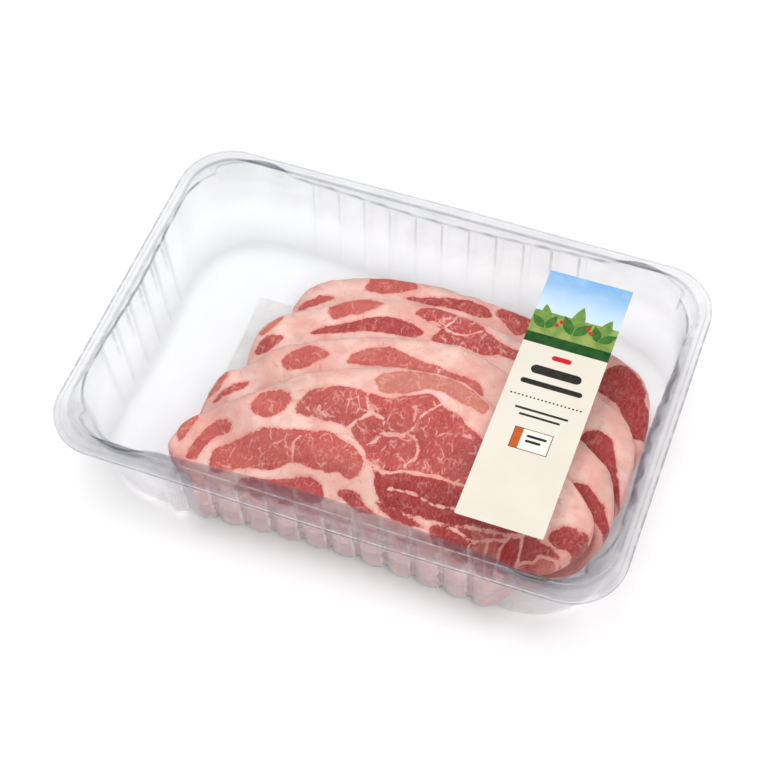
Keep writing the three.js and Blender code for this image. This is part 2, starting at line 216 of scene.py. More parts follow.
# Thin seams of fat that part the muscles: half a width, and a line from above, in millimetres.
SEAMS = {
    "slice_1": [],
    "slice_2": [
        (0.5, [(16.5, 50), (15.5, 45), (13, 40.5), (18, 38.5), (24, 40), (30, 44.5)]),
        (0.4, [(6, 42), (12, 40.5), (19, 36), (20, 33)]),
    ],
    "slice_3": [(0.4, [(22, 12), (21, 7), (24, 3)])],
    "slice_4": [
        (0.35, [(-26, -57), (-25.5, -52), (-27, -47), (-24.5, -43.5)]),
        (0.5, [(-1.5, -19.5), (-0.5, -24), (1.5, -27.5)]),
        (0.55, [(-6, -34.5), (-2, -31), (3, -27.6), (8.5, -28.5), (10.3, -32), (8, -36.5), (4.5, -39)]),
        (0.45, [(31, -14.5), (27, -20), (24.4, -24), (22.4, -29.5), (18, -33)]),
        (0.6, [(9, -33.6), (18, -32.6), (24, -31.8), (27.8, -35.5), (27.2, -39), (23.8, -42.5), (24, -46)]),
        (0.8, [(6, -46), (10, -47), (15, -49.2), (20, -48), (24, -46), (30, -45.5), (38, -44),
               (46, -44.5), (55, -44)]),
        (0.35, [(55, -44), (63, -44.5), (72, -48)]),
        (0.4, [(20, -54), (30, -53), (41, -55), (52, -53.5)]),
        (0.5, [(43, -60.5), (52, -60.4), (62, -62.2), (69, -60), (76, -58.5)]),
        (0.45, [(60, -61.5), (61.5, -65), (66, -69.5)]),
        (0.5, [(68, -60.5), (68.5, -64), (73, -69)]),
        (0.65, [(76.5, -57), (74, -61), (75, -66), (79, -69)]),
        (0.6, [(82, -57), (82.8, -62), (83, -68)]),
        (0.7, [(84, -64.5), (89, -64), (91, -60), (99, -60), (102, -63)]),
    ],
}
STEAK_COLUMNS = 290
STEAK_ROWS = 112
STEAK_SIDE_ROWS = 2

# The film, and the label with its print, in millimetres. The print lies in steps within the label's height.
FILM_CORNER = 22.4
LABEL_WIDTH = 38.8
LABEL_LENGTH = 135.0
LABEL_CORNER = 0.8
PRINT_LIFT = 0.02
PRINT_STEPS = 7
DOTS_COUNT = 19
DOTS_LENGTH = 31.5
DOTS_HEIGHT = 65.6
DOTS_RADIUS = 0.45
# Each ink as two close shades from 0 to 255, and the size of its soft patches in millimetres.
PRINT_INKS = {
    "green_ground": ((148, 164, 88), (112, 142, 66), 6.0),
    "dark_green": ((30, 82, 30), (18, 64, 24), 5.0),
    "light_green": ((120, 152, 72), (96, 132, 58), 3.0),
    "mid_green": ((66, 118, 46), (50, 100, 40), 3.0),
    "berry": ((196, 60, 50), (176, 44, 42), 1.0),
    "red": ((208, 26, 44), (192, 18, 38), 4.0),
    "dark": ((34, 32, 30), (46, 44, 40), 3.0),
    "brown": ((120, 82, 58), (104, 70, 50), 3.0),
    "white": ((238, 236, 228), (232, 228, 218), 3.0),
    "orange": ((198, 92, 34), (186, 80, 28), 3.0),
}

# The sockets of a mix node that hold colours.
MIX_FIRST_COLOUR = 6
MIX_SECOND_COLOUR = 7
MIX_RESULT_COLOUR = 2

# The camera of the photograph: millimetres and degrees, with its target over the tray's middle.
CAMERA_TARGET = (3.8, -14.5, 50.6)
CAMERA_DISTANCE = 786.2
CAMERA_AZIMUTH = 22.52
CAMERA_ELEVATION = 55.85
CAMERA_ROLL = -2.6
CAMERA_LENS = 83.92
SENSOR_WIDTH = 36.0

# The floor, in millimetres.
FLOOR_REACH = 4000.0
FLOOR_GAP = 0.05


def smoothstep(low, high, value):
    """A smooth rise from 0 at low to 1 at high."""
    share = np.clip((value - low) / (high - low), 0.0, 1.0)
    return share * share * (3.0 - 2.0 * share)


def smooth_outline(points, steps):
    """A closed centripetal curve through the points, with the same number of steps between each pair."""
    knots = np.array(points, dtype=float)
    count = len(knots)
    made = []
    for index in range(count):
        run = [knots[(index + offset) % count] for offset in (-1, 0, 1, 2)]
        times = [0.0]
        for first, second in zip(run, run[1:]):
            times.append(times[-1] + math.sqrt(np.linalg.norm(second - first)))
        for time in np.linspace(times[1], times[2], steps, endpoint=False):
            level = list(run)
            for degree in (1, 2, 3):
                for place in range(4 - degree):
                    start = times[place] if degree < 3 else times[1]
                    stop = times[place + degree] if degree < 3 else times[2]
                    share = (time - start) / (stop - start)
                    level[place] = (1 - share) * level[place] + share * level[place + 1]
            made.append(level[0])
    return np.array(made)


def inside_distance(outline, points):
    """Each point's distance to a closed outline, above zero inside it."""
    nearest = np.full(len(points), np.inf)
    inside = np.zeros(len(points), dtype=bool)
    for a, b in zip(outline, np.roll(outline, -1, axis=0)):
        edge = b - a
        share = np.clip(((points - a) @ edge) / max(edge @ edge, 1e-9), 0.0, 1.0)
        away = points - a - share[:, None] * edge
        nearest = np.minimum(nearest, np.hypot(away[:, 0], away[:, 1]))
        crosses = (a[1] > points[:, 1]) != (b[1] > points[:, 1])
        climb = edge[1] if edge[1] != 0 else 1e-9
        inside ^= crosses & (points[:, 0] < a[0] + (points[:, 1] - a[1]) / climb * edge[0])
    return np.where(inside, nearest, -nearest)


def soft_noise(points, size, seed):
    """Smooth noise from -1 to 1 over plan points, with bumps of about the given size."""
    table = np.random.default_rng(seed).uniform(-1.0, 1.0, (256, 256))
    scaled = points / size + 97.0
    cell = np.floor(scaled).astype(int)
    part = scaled - cell
    part = part * part * (3.0 - 2.0 * part)
    total = np.zeros(len(points))
    for step_x in (0, 1):
        for step_y in (0, 1):
            weight_x = part[:, 0] if step_x else 1.0 - part[:, 0]
            weight_y = part[:, 1] if step_y else 1.0 - part[:, 1]
            total += weight_x * weight_y * table[(cell[:, 0] + step_x) % 256, (cell[:, 1] + step_y) % 256]
    return total


def add_mesh(name, points, faces, smooth=True):
    """A mesh object from points in millimetres and lists of corner numbers."""
    mesh = bpy.data.meshes.new(name)
    mesh.from_pydata((np.asarray(points) * MM).tolist(), [], [list(map(int, face)) for face in faces])
    if smooth:
        mesh.shade_smooth()
    mesh.update()
    made = bpy.data.objects.new(name, mesh)
    bpy.context.scene.collection.objects.link(made)
    return made


def add_values(made, name, values):
    """One number at each point of a mesh, for its material to read."""
    attribute = made.data.attributes.new(name=name, type="FLOAT", domain="POINT")
    attribute.data.foreach_set("value", np.asarray(values, dtype=np.float32))


def colour(red, green, blue):
    """A linear colour from the 0 to 255 values that a screen shows."""
    shares = [value / 255.0 for value in (red, green, blue)]
    linear = [s / 12.92 if s <= 0.04045 else ((s + 0.055) / 1.055) ** 2.4 for s in shares]
    return (*linear, 1.0)


def opaque(shade):
    """A setting's linear colour as one that a node takes."""
    return (*shade, 1.0)


# Nodes

def new_material(name):
    """An empty node material and its tree."""
    material = bpy.data.materials.new(name)
    material.use_nodes = True
    material.node_tree.nodes.clear()
    return material, material.node_tree


def add_node(tree, kind, **settings):
    """A new node with its settings."""
    made = tree.nodes.new(kind)
    for key, value in settings.items():
        setattr(made, key, value)
    return made


def feed(tree, socket, value):
    """Links a socket to another, or gives it a plain value."""
    if isinstance(value, bpy.types.NodeSocket):
        tree.links.new(value, socket)
    else:
        socket.default_value = value


def do_math(tree, operation, first, second=None, clamp=False):
    """One sum, of sockets or of plain values."""
    made = add_node(tree, "ShaderNodeMath", operation=operation, use_clamp=clamp)
    feed(tree, made.inputs[0], first)
    if second is not None:
        feed(tree, made.inputs[1], second)
    return made.outputs[0]


def multiply(tree, first, *others):
    """The product of two or more values."""
    for other in others:
        first = do_math(tree, "MULTIPLY", first, other)
    return first


def rise(tree, value, low, high, start=0.0, stop=1.0):
    """A smooth change from start to stop as value goes from low to high."""
    made = add_node(tree, "ShaderNodeMapRange", interpolation_type="SMOOTHSTEP")
    feed(tree, made.inputs["Value"], value)
    for key, amount in (("From Min", low), ("From Max", high), ("To Min", start), ("To Max", stop)):
        feed(tree, made.inputs[key], amount)
    return made.outputs["Result"]


def blend_colours(tree, share, first, second, mode="MIX"):
    """The first colour, with a share of the second one laid over it."""
    made = add_node(tree, "ShaderNodeMix", data_type="RGBA", blend_type=mode)
    feed(tree, made.inputs["Factor"], share)
    feed(tree, made.inputs[MIX_FIRST_COLOUR], first)
    feed(tree, made.inputs[MIX_SECOND_COLOUR], second)
    return made.outputs[MIX_RESULT_COLOUR]


def noise(tree, where, size, detail=2.0, distortion=0.0):
    """Noise from 0 to 1 with bumps of about size millimetres."""
    made = add_node(tree, "ShaderNodeTexNoise")
    feed(tree, made.inputs["Vector"], where)
    made.inputs["Scale"].default_value = 1.0 / (size * MM)
    made.inputs["Detail"].default_value = detail
    made.inputs["Distortion"].default_value = distortion
    return made.outputs["Fac"]


def swing(tree, where, size, amount, detail=3.0):
    """Noise round zero, from minus half an amount to plus half of it."""
    return multiply(tree, do_math(tree, "SUBTRACT", noise(tree, where, size, detail), 0.5), amount)


def ramp(tree, value, stops):
    """A colour that runs through stops, each a place from 0 to 1 and a colour."""
    made = add_node(tree, "ShaderNodeValToRGB")
    elements = made.color_ramp.elements
    elements[0].position, elements[0].color = stops[0]
    elements[1].position, elements[1].color = stops[-1]
    for position, shade in stops[1:-1]:
        elements.new(position).color = shade
    feed(tree, made.inputs["Fac"], value)
    return made.outputs["Color"]


def place_of(tree, stretch=(1.0, 1.0, 1.0)):
    """Object coordinates, stretched along each axis."""
    source = add_node(tree, "ShaderNodeTexCoord")
    mapping = add_node(tree, "ShaderNodeMapping")
    mapping.inputs["Scale"].default_value = stretch
    tree.links.new(source.outputs["Object"], mapping.inputs["Vector"])
    return mapping.outputs["Vector"]


def moved_by_noise(tree, where, size, amount):
    """Coordinates pushed about by noise, both in millimetres."""
    source = add_node(tree, "ShaderNodeTexNoise")
    feed(tree, source.inputs["Vector"], where)
    source.inputs["Scale"].default_value = 1.0 / (size * MM)
    centred = add_node(tree, "ShaderNodeVectorMath", operation="SUBTRACT")
    tree.links.new(source.outputs["Color"], centred.inputs[0])
    centred.inputs[1].default_value = (0.5, 0.5, 0.5)
    scaled = add_node(tree, "ShaderNodeVectorMath", operation="SCALE")
    tree.links.new(centred.outputs[0], scaled.inputs[0])
    scaled.inputs["Scale"].default_value = 2.0 * amount * MM
    added = add_node(tree, "ShaderNodeVectorMath", operation="ADD")
    feed(tree, added.inputs[0], where)
    tree.links.new(scaled.outputs[0], added.inputs[1])
    return added.outputs[0]


def read_value(tree, name):
    """A number that the mesh holds at its points."""
    return add_node(tree, "ShaderNodeAttribute", attribute_name=name).outputs["Fac"]


def bump(tree, height, distance, strength=1.0):
    """A normal from a height, with its depth in millimetres."""
    made = add_node(tree, "ShaderNodeBump")
    made.inputs["Strength"].default_value = strength
    made.inputs["Distance"].default_value = distance * MM
    feed(tree, made.inputs["Height"], height)
    return made.outputs["Normal"]


def finish_with(tree, shader):
    """Makes a shader the material's surface."""
    output = add_node(tree, "ShaderNodeOutputMaterial")
    tree.links.new(shader, output.inputs["Surface"])


def new_group(name, lengths):
    """A geometry node tree that takes lengths in millimetres and a material, and its input node."""
    tree = bpy.data.node_groups.new(name, "GeometryNodeTree")
    tree.interface.new_socket("Geometry", in_out="OUTPUT", socket_type="NodeSocketGeometry")
    for label, value in lengths.items():
        socket = tree.interface.new_socket(label, in_out="INPUT", socket_type="NodeSocketFloat")
        socket.default_value = value * MM
    tree.interface.new_socket("Material", in_out="INPUT", socket_type="NodeSocketMaterial")
    return tree, add_node(tree, "NodeGroupInput")


def end_group(tree, start, geometry):
    """Gives out a node tree's geometry, with its instances made real and the tree's material on it."""
    real = add_node(tree, "GeometryNodeRealizeInstances")
    tree.links.new(geometry, real.inputs[0])
    dressed = add_node(tree, "GeometryNodeSetMaterial")
    tree.links.new(real.outputs[0], dressed.inputs["Geometry"])
    tree.links.new(start.outputs["Material"], dressed.inputs["Material"])
    end = add_node(tree, "NodeGroupOutput")
    tree.links.new(dressed.outputs[0], end.inputs[0])


def seam_lines(tree, where, size, width):
    """Thin lines between cells of about size millimetres: 1 on a line and 0 away from it."""
    cells = add_node(tree, "ShaderNodeTexVoronoi", feature="DISTANCE_TO_EDGE")
    feed(tree, cells.inputs["Vector"], where)
    cells.inputs["Scale"].default_value = 1.0 / (size * MM)
    return rise(tree, cells.outputs["Distance"], 0.0, width / size, 1.0, 0.0)


def add_surface(tree, shade, roughness, normal=None):
    """A plain glossy surface, as the material's own."""
    shader = add_node(tree, "ShaderNodeBsdfPrincipled")
    feed(tree, shader.inputs["Base Color"], shade)
    feed(tree, shader.inputs["Roughness"], roughness)
    if normal is not None:
        feed(tree, shader.inputs["Normal"], normal)
    finish_with(tree, shader.outputs[0])
    return shader


# Materials

def lean_surface(tree, where, bent, tone, settings):
    """The muscle's red with its fibres and its web of fat lines, and that web by itself."""
    toned = do_math(tree, "ADD", tone, swing(tree, where, 9.0, 0.55, 4.0))
    red = ramp(tree, do_math(tree, "DIVIDE", toned, 1.2), [
        (0.0, colour(196, 124, 108)),
        (0.28, colour(192, 95, 87)),
        (0.5, colour(178, 75, 72)),
        (0.68, colour(160, 56, 57)),
        (0.84, colour(152, 40, 44)),
        (1.0, colour(184, 14, 28)),
    ])
    fibres = noise(tree, place_of(tree, (1.5, 0.5, 1.0)), 1.2, 3.0, 0.8)
    red = blend_colours(tree, rise(tree, fibres, 0.4, 0.72, 0.0, 0.3), red, colour(222, 128, 112))
    red = blend_colours(tree, rise(tree, fibres, 0.42, 0.28, 0.0, 0.3), red, colour(140, 40, 40))
    wide = multiply(tree, seam_lines(tree, bent, 7.0, 0.6), rise(tree, noise(tree, where, 5.0), 0.47, 0.62))
    crooked = moved_by_noise(tree, place_of(tree, (1.2, 0.8, 1.0)), 1.8, 1.1)
    broken = rise(tree, noise(tree, where, 3.2), 0.48, 0.66)
    fine = multiply(tree, seam_lines(tree, crooked, 2.8, 0.34), broken, 0.65)
    specks = rise(tree, noise(tree, where, 0.9, 2.0), 0.64, 0.74, 0.0, 0.6)
    web = do_math(tree, "MAXIMUM", do_math(tree, "MAXIMUM", wide, fine), specks)
    strength = multiply(tree, rise(tree, tone, 0.78, 0.95, 1.0, 0.3), read_value(tree, "marbling"))
    web = multiply(tree, web, strength)
    return blend_colours(tree, web, red, opaque(settings.marbling_colour)), web


def fat_surface(tree, where, bent, depth, settings):
    """The fat's cream: duller in patches and behind, with veins, a blush, and lean at a cut front edge."""
    cream = blend_colours(tree, rise(tree, noise(tree, where, 16.0, 4.0), 0.36, 0.64),
                          opaque(settings.fat_colour), opaque(settings.fat_pink))
    dull = rise(tree, noise(tree, moved_by_noise(tree, where, 9.0, 5.0), 8.0, 4.0), 0.55, 0.7, 0.0, 0.35)
    patchy = rise(tree, noise(tree, where, 7.0, 3.0), 0.35, 0.6, 0.15, 0.75)
    behind = multiply(tree, read_value(tree, "back"), patchy)
    cream = blend_colours(tree, do_math(tree, "MAXIMUM", dull, behind), cream, colour(198, 160, 152))
    broken = rise(tree, noise(tree, where, 6.0), 0.5, 0.64, 0.0, 0.45)
    veins = multiply(tree, seam_lines(tree, bent, 14.0, 0.6), broken)
    cream = blend_colours(tree, veins, cream, colour(196, 124, 118))
    blush = rise(tree, noise(tree, where, 3.2, 4.0), 0.54, 0.72, 0.0, 0.4)
    cream = blend_colours(tree, blush, cream, colour(224, 150, 140))
    side = rise(tree, read_value(tree, "rim"), 0.2, 1.6, 0.7, 0.0)
    cream = blend_colours(tree, side, cream, opaque(settings.rind_colour))
    streaks = rise(tree, noise(tree, where, 11.0, 3.0), 0.44, 0.54, 0.2, 0.9)
    cut_lean = multiply(tree, read_value(tree, "front"), streaks)
    cream = blend_colours(tree, cut_lean, cream, colour(200, 104, 108))
    halo = rise(tree, depth, -1.4, -0.1, 0.0, 0.5)
    return blend_colours(tree, halo, cream, colour(226, 140, 130))


def pork_material(settings):
    """Raw pork: marbled red muscle where the steak's muscle distance is above zero, fat elsewhere, and
    painted shade under the steak above.
    """
    material, tree = new_material("raw_pork")
    where = place_of(tree)
    ragged = do_math(tree, "ADD", swing(tree, where, 4.5, 2.6), swing(tree, where, 1.1, 1.5))
    depth = do_math(tree, "ADD", read_value(tree, "muscle"), ragged)
    bent = moved_by_noise(tree, place_of(tree, (1.15, 0.85, 1.0)), 4.5, 2.4)
    red, web = lean_surface(tree, where, bent, read_value(tree, "tone"), settings)
    cream = fat_surface(tree, where, bent, depth, settings)
    surface = blend_colours(tree, rise(tree, depth, -0.25, 0.3), cream, red)
    # Painted shade: the surface darkens to a dull red under the steak above and just beside its edge.
    shaded = multiply(tree, read_value(tree, "crease_shade"), 0.75)
    surface = blend_colours(tree, shaded, surface, colour(150, 70, 66), mode="MULTIPLY")
    wet = rise(tree, noise(tree, where, 3.0, 3.0), 0.3, 0.7, 0.28, 0.55)
    grain = do_math(tree, "ADD", noise(tree, where, 0.8, 3.0), multiply(tree, web, 0.5))
    shader = add_surface(tree, surface, wet, bump(tree, grain, 0.3, 0.6))
    shader.inputs["Specular IOR Level"].default_value = 0.3
    shader.inputs["Subsurface Weight"].default_value = 0.08
    shader.inputs["Subsurface Radius"].default_value = (1.0, 0.35, 0.25)
    shader.inputs["Subsurface Scale"].default_value = 1.2 * MM
    return material


def clear_material(name, tint, edge_tint, veil_tint, haze, reflectance, roughness, relief=0.0, edge=None):
    """Thin clear plastic: it lets light straight through, darkens where it is seen edge on, and shines."""
    material, tree = new_material(name)
    facing = add_node(tree, "ShaderNodeLayerWeight")
    facing.inputs["Blend"].default_value = 0.5
    edge_on = do_math(tree, "POWER", facing.outputs["Facing"], 4.0)
    if edge:
        edge_on = multiply(tree, edge_on, edge(tree))
    through = add_node(tree, "ShaderNodeBsdfTransparent")
    feed(tree, through.inputs["Color"], blend_colours(tree, edge_on, tint(tree), edge_tint))
    veil = add_node(tree, "ShaderNodeBsdfDiffuse")
    feed(tree, veil.inputs["Color"], veil_tint(tree))
    hazy = add_node(tree, "ShaderNodeMixShader")
    feed(tree, hazy.inputs[0], haze(tree))
    tree.links.new(through.outputs[0], hazy.inputs[1])
    tree.links.new(veil.outputs[0], hazy.inputs[2])
    gloss = add_node(tree, "ShaderNodeBsdfGlossy")
    gloss.inputs["Color"].default_value = (1.0, 1.0, 1.0, 1.0)
    gloss.inputs["Roughness"].default_value = roughness
    if relief:
        feed(tree, gloss.inputs["Normal"], bump(tree, noise(tree, place_of(tree), 24.0, 1.0), relief))
    schlick = do_math(tree, "POWER", facing.outputs["Facing"], 5.0)
    shine = do_math(tree, "ADD", multiply(tree, schlick, 0.8), reflectance, clamp=True)
    mixed = add_node(tree, "ShaderNodeMixShader")
    feed(tree, mixed.inputs[0], shine)
    tree.links.new(hazy.outputs[0], mixed.inputs[1])
    tree.links.new(gloss.outputs[0], mixed.inputs[2])
    finish_with(tree, mixed.outputs[0])
    return material


def tray_material(settings):
    """The tray's plastic: painted shade on its land, lip and upper wall, strongest at the front, with a lilac
    veil there and a white one low on its front wall that paint reflected light, and painted dark lines and
    highlights at its pressed edges.
    """
    def broken(tree):
        return rise(tree, noise(tree, place_of(tree), 5.0, 3.0), 0.36, 0.56, 0.35, 1.0)

    def tint(tree):
        cloud = rise(tree, noise(tree, place_of(tree), 14.0, 3.0), 0.3, 0.7, 0.75, 1.2)
        # Painted shade: the land, lip and upper wall turn darker by the painted shade value, most at the
        # front.
        painted_shade = multiply(tree, read_value(tree, "painted_shade"), cloud, settings.painted_shade)
        clear = blend_colours(tree, painted_shade, (0.994, 0.995, 0.997, 1.0), (0.02, 0.02, 0.03, 1.0))
        # Painted shade: dark lines along the mouth edge, the riser, the lip and the flutes' edges.
        line = do_math(tree, "MULTIPLY", read_value(tree, "line"), broken(tree), clamp=True)
        return blend_colours(tree, line, clear, (0.12, 0.13, 0.17, 1.0))

    def veil_tint(tree):
        # The veil is white where the painted reflection or the painted highlights lie, and lilac elsewhere.
        white = do_math(tree, "MAXIMUM", read_value(tree, "painted_reflection"), read_value(tree, "glint"))
        whiter = rise(tree, white, 0.0, 0.5)
        return blend_colours(tree, whiter, (0.52, 0.48, 0.66, 1.0), (0.97, 0.97, 0.98, 1.0))

    def edge(tree):
        return rise(tree, read_value(tree, "painted_shade"), 0.06, 0.4, 0.25, 1.0)

    def haze(tree):
        # A lilac veil where the painted shade lies: painted reflected light on the land and lip.
        painted_shade = multiply(tree, read_value(tree, "painted_shade"), settings.land_reflection_veil)
        # A white veil low on the front wall: painted reflection of the white floor.
        painted_reflection = multiply(tree, read_value(tree, "painted_reflection"), settings.painted_reflection)
        glint = do_math(tree, "ADD", multiply(tree, read_value(tree, "glint"), broken(tree), 0.6), 0.003)
        return do_math(tree, "ADD", do_math(tree, "ADD", painted_shade, painted_reflection), glint, clamp=True)

    edge_tint = (0.68, 0.69, 0.74, 1.0)
    return clear_material("clear_tray_plastic", tint, edge_tint, veil_tint, haze, 0.02, 0.05, edge=edge)


def film_material():
    """The lidding film: almost clear, with faint soft reflections."""
    def haze(tree):
        return rise(tree, noise(tree, place_of(tree), 30.0, 2.0), 0.3, 0.7, 0.001, 0.004)

    def tint(tree):
        cloud = noise(tree, place_of(tree), 40.0, 1.0)
        return blend_colours(tree, cloud, (0.995, 0.996, 0.998, 1.0), (0.99, 0.993, 0.996, 1.0))

    def veil_tint(tree):
        return blend_colours(tree, 0.5, (0.9, 0.92, 0.96, 1.0), (0.94, 0.94, 0.96, 1.0))

    edge_tint = (0.9, 0.91, 0.93, 1.0)
    return clear_material("clear_lidding_film", tint, edge_tint, veil_tint, haze, 0.006, 0.04, relief=0.2)


def pad_material(settings):
    """Absorbent paper: pale grey, with soft mottling and fibres."""
    material, tree = new_material("absorbent_paper")
    where = place_of(tree)
    shade = blend_colours(tree, rise(tree, noise(tree, where, 12.0, 3.0), 0.3, 0.7),
                          opaque(settings.pad_colour), colour(222, 218, 218))
    fibres = noise(tree, place_of(tree, (0.4, 1.5, 1.0)), 0.8, 3.0, 0.5)
    shade = blend_colours(tree, rise(tree, fibres, 0.45, 0.7, 0.0, 0.25), shade, colour(238, 242, 240))
    add_surface(tree, shade, 0.85, bump(tree, fibres, 0.2, 0.6))
    return material


def ink_material(name, first, second, patch):
    """Printed colour: two close shades in soft patches, with the paper's slight grain."""
    material, tree = new_material(name)
    where = place_of(tree)
    patches = rise(tree, noise(tree, where, patch, 3.0), 0.35, 0.65)
    shade = blend_colours(tree, patches, colour(*first), colour(*second))
    grain = noise(tree, where, 0.5, 2.0)
    add_surface(tree, shade, rise(tree, grain, 0.3, 0.7, 0.42, 0.55), bump(tree, grain, 0.03, 0.4))
    return material


def blue_ground_material():
    """Printed blue that pales towards the foot of its field."""
    material, tree = new_material("print_blue_ground")
    where = place_of(tree)
    split = add_node(tree, "ShaderNodeSeparateXYZ")
    tree.links.new(where, split.inputs[0])
    height = rise(tree, split.outputs["Y"], 44.0 * MM, 68.0 * MM)
    shade = ramp(tree, height, [(0.0, colour(198, 220, 236)), (1.0, colour(124, 174, 222))])
    pale = rise(tree, noise(tree, where, 9.0, 2.0), 0.4, 0.7, 0.0, 0.2)
    add_surface(tree, blend_colours(tree, pale, shade, colour(216, 230, 240)), 0.48)
    return material


# The tray

def side_places(rib_count, straight):
    """Where one side of the tray has its points: close together at each rib, and wider apart between them."""
    across = [0.0, 0.5, 1.0, 1.3, 1.6, 1.9, 2.4, 3.1, 4.2, 5.4, FLUTE_PITCH / 2]
    first = -(rib_count - 1) / 2 * FLUTE_PITCH
    places = {-straight, straight}
    for rib in range(rib_count):
        for step in across:
            places.add(round(first + rib * FLUTE_PITCH + step, 4))
            places.add(round(first + rib * FLUTE_PITCH - step, 4))
    outer = -first + FLUTE_PITCH / 2
    for step in np.linspace(outer, straight, 9)[1:-1]:
        places.update((float(step), -float(step)))
    return np.array(sorted(places))


def pocket_share(along, rib_count):
    """How far a pocket stands out: 0 on a rib's crest, and 1 or a little more between the ribs."""
    half = (rib_count - 1) / 2 * FLUTE_PITCH
    beyond = np.abs(along) - half
    to_rib = np.where(beyond > 0, beyond, np.abs(along - np.round(along / FLUTE_PITCH) * FLUTE_PITCH))
    crown = POCKET_CROWN * smoothstep(RIB_FOOT_HALF, FLUTE_PITCH / 2, to_rib)
    share = smoothstep(RIB_CREST_HALF, RIB_FOOT_HALF, to_rib) + crown
    faded = (1 + POCKET_CROWN) * (1 - smoothstep(FLUTE_PITCH / 2, FLUTE_PITCH, to_rib))
    return np.where(to_rib > FLUTE_PITCH / 2, faded, share)


def tray_stations():
    """One turn round the tray: each point's side, its place along it, and its share of a corner or -1."""
    straight = {0: MOUTH["half_y"] - BOTTOM_RADIUS, 1: MOUTH["half_x"] - BOTTOM_RADIUS}
    ribs = {0: RIBS_SHORT_SIDE, 1: RIBS_LONG_SIDE}
    rows = []
    for turn in range(4):
        kind = turn % 2
        for along in side_places(ribs[kind], straight[kind]):
            rows.append((turn, along, -1.0))
        for step in range(1, 36):
            rows.append((turn, straight[kind], step / 36))
    return np.array(rows)


def tray_ring(stations, ring):
    """The ring's points in plan, as the tray's solid works them out."""
    turn, along, corner = stations.T
    kind = turn.astype(int) % 2
    half = np.where(kind == 1, ring["half_y"], ring["half_x"])
    reach = np.where(kind == 1, ring["half_x"], ring["half_y"])
    full = np.where(kind == 1, MOUTH["half_x"], MOUTH["half_y"]) - BOTTOM_RADIUS
    bow = np.where(kind == 1, ring["bow_y"], ring["bow_x"])
    ribs = np.where(kind == 1, RIBS_LONG_SIDE, RIBS_SHORT_SIDE)
    share = np.where(kind == 0, corner, 1 - corner)
    at_corner = smoothstep(EAR_START, EAR_START + EAR_RISE, share)
    on_side = np.where(kind == 1, 1 - smoothstep(0, EAR_TAIL, full - np.abs(along)), 0.0)
    ear = ring["ear"] * EAR_DEPTH * np.where(corner >= 0, at_corner, on_side)
    angle = np.clip(corner, 0, 1) * math.pi / 2
    pocket = ring["flute"] * POCKET_DEPTH * np.where(
        kind == 1, pocket_share(along, RIBS_LONG_SIDE), pocket_share(along, RIBS_SHORT_SIDE))
    side_out = half + bow * np.cos(along / full * math.pi / 2) ** 2 + pocket + ear
    rib_end = (ribs - 1) / 2 * FLUTE_PITCH + RIB_FOOT_HALF
    beyond = np.abs(along) - rib_end
    stretched = np.sign(along) * (rib_end + beyond * (reach - ring["radius"] - rib_end) / (full - rib_end))
    side_along = np.where(beyond > 0, stretched, along)
    corner_out = half - ring["radius"] + (ring["radius"] + ear) * np.cos(angle)
    corner_along = reach - ring["radius"] + (ring["radius"] + ear) * np.sin(angle)
    out = np.where(corner >= 0, corner_out, side_out)
    forward = np.where(corner >= 0, corner_along, side_along)
    heading = turn * math.pi / 2
    x = out * np.cos(heading) - forward * np.sin(heading)
    y = out * np.sin(heading) + forward * np.cos(heading)
    return np.stack([x, y, np.full(len(x), ring["z"])], axis=1)


def plain_ring(outline, z, grow):
    """A ring of the lip or the riser at a height, grown by so much."""
    return {
        "z": z, "half_x": outline["half_x"] + grow, "half_y": outline["half_y"] + grow,
        "radius": outline["radius"] + grow, "bow_x": 0.0, "bow_y": outline["bow"], "flute": 0.0, "ear": 0.0,
    }


def wall_ring(z, flute, ear, inset):
    """A ring of the wall at a height, with its shares of the flutes and of the corners' stacking pockets."""
    drop = (LAND_TOP - z) / LAND_TOP
    lean = WALL_TAPER * (LAND_TOP - z) + inset
    return {
        "z": z, "half_x": MOUTH["half_x"] - lean, "half_y": MOUTH["half_y"] - lean,
        "radius": MOUTH["radius"] + (BOTTOM_RADIUS - MOUTH["radius"]) * drop - inset,
        "bow_x": -MOUTH["pull_x"], "bow_y": -MOUTH["pull_y"], "flute": flute, "ear": ear,
    }


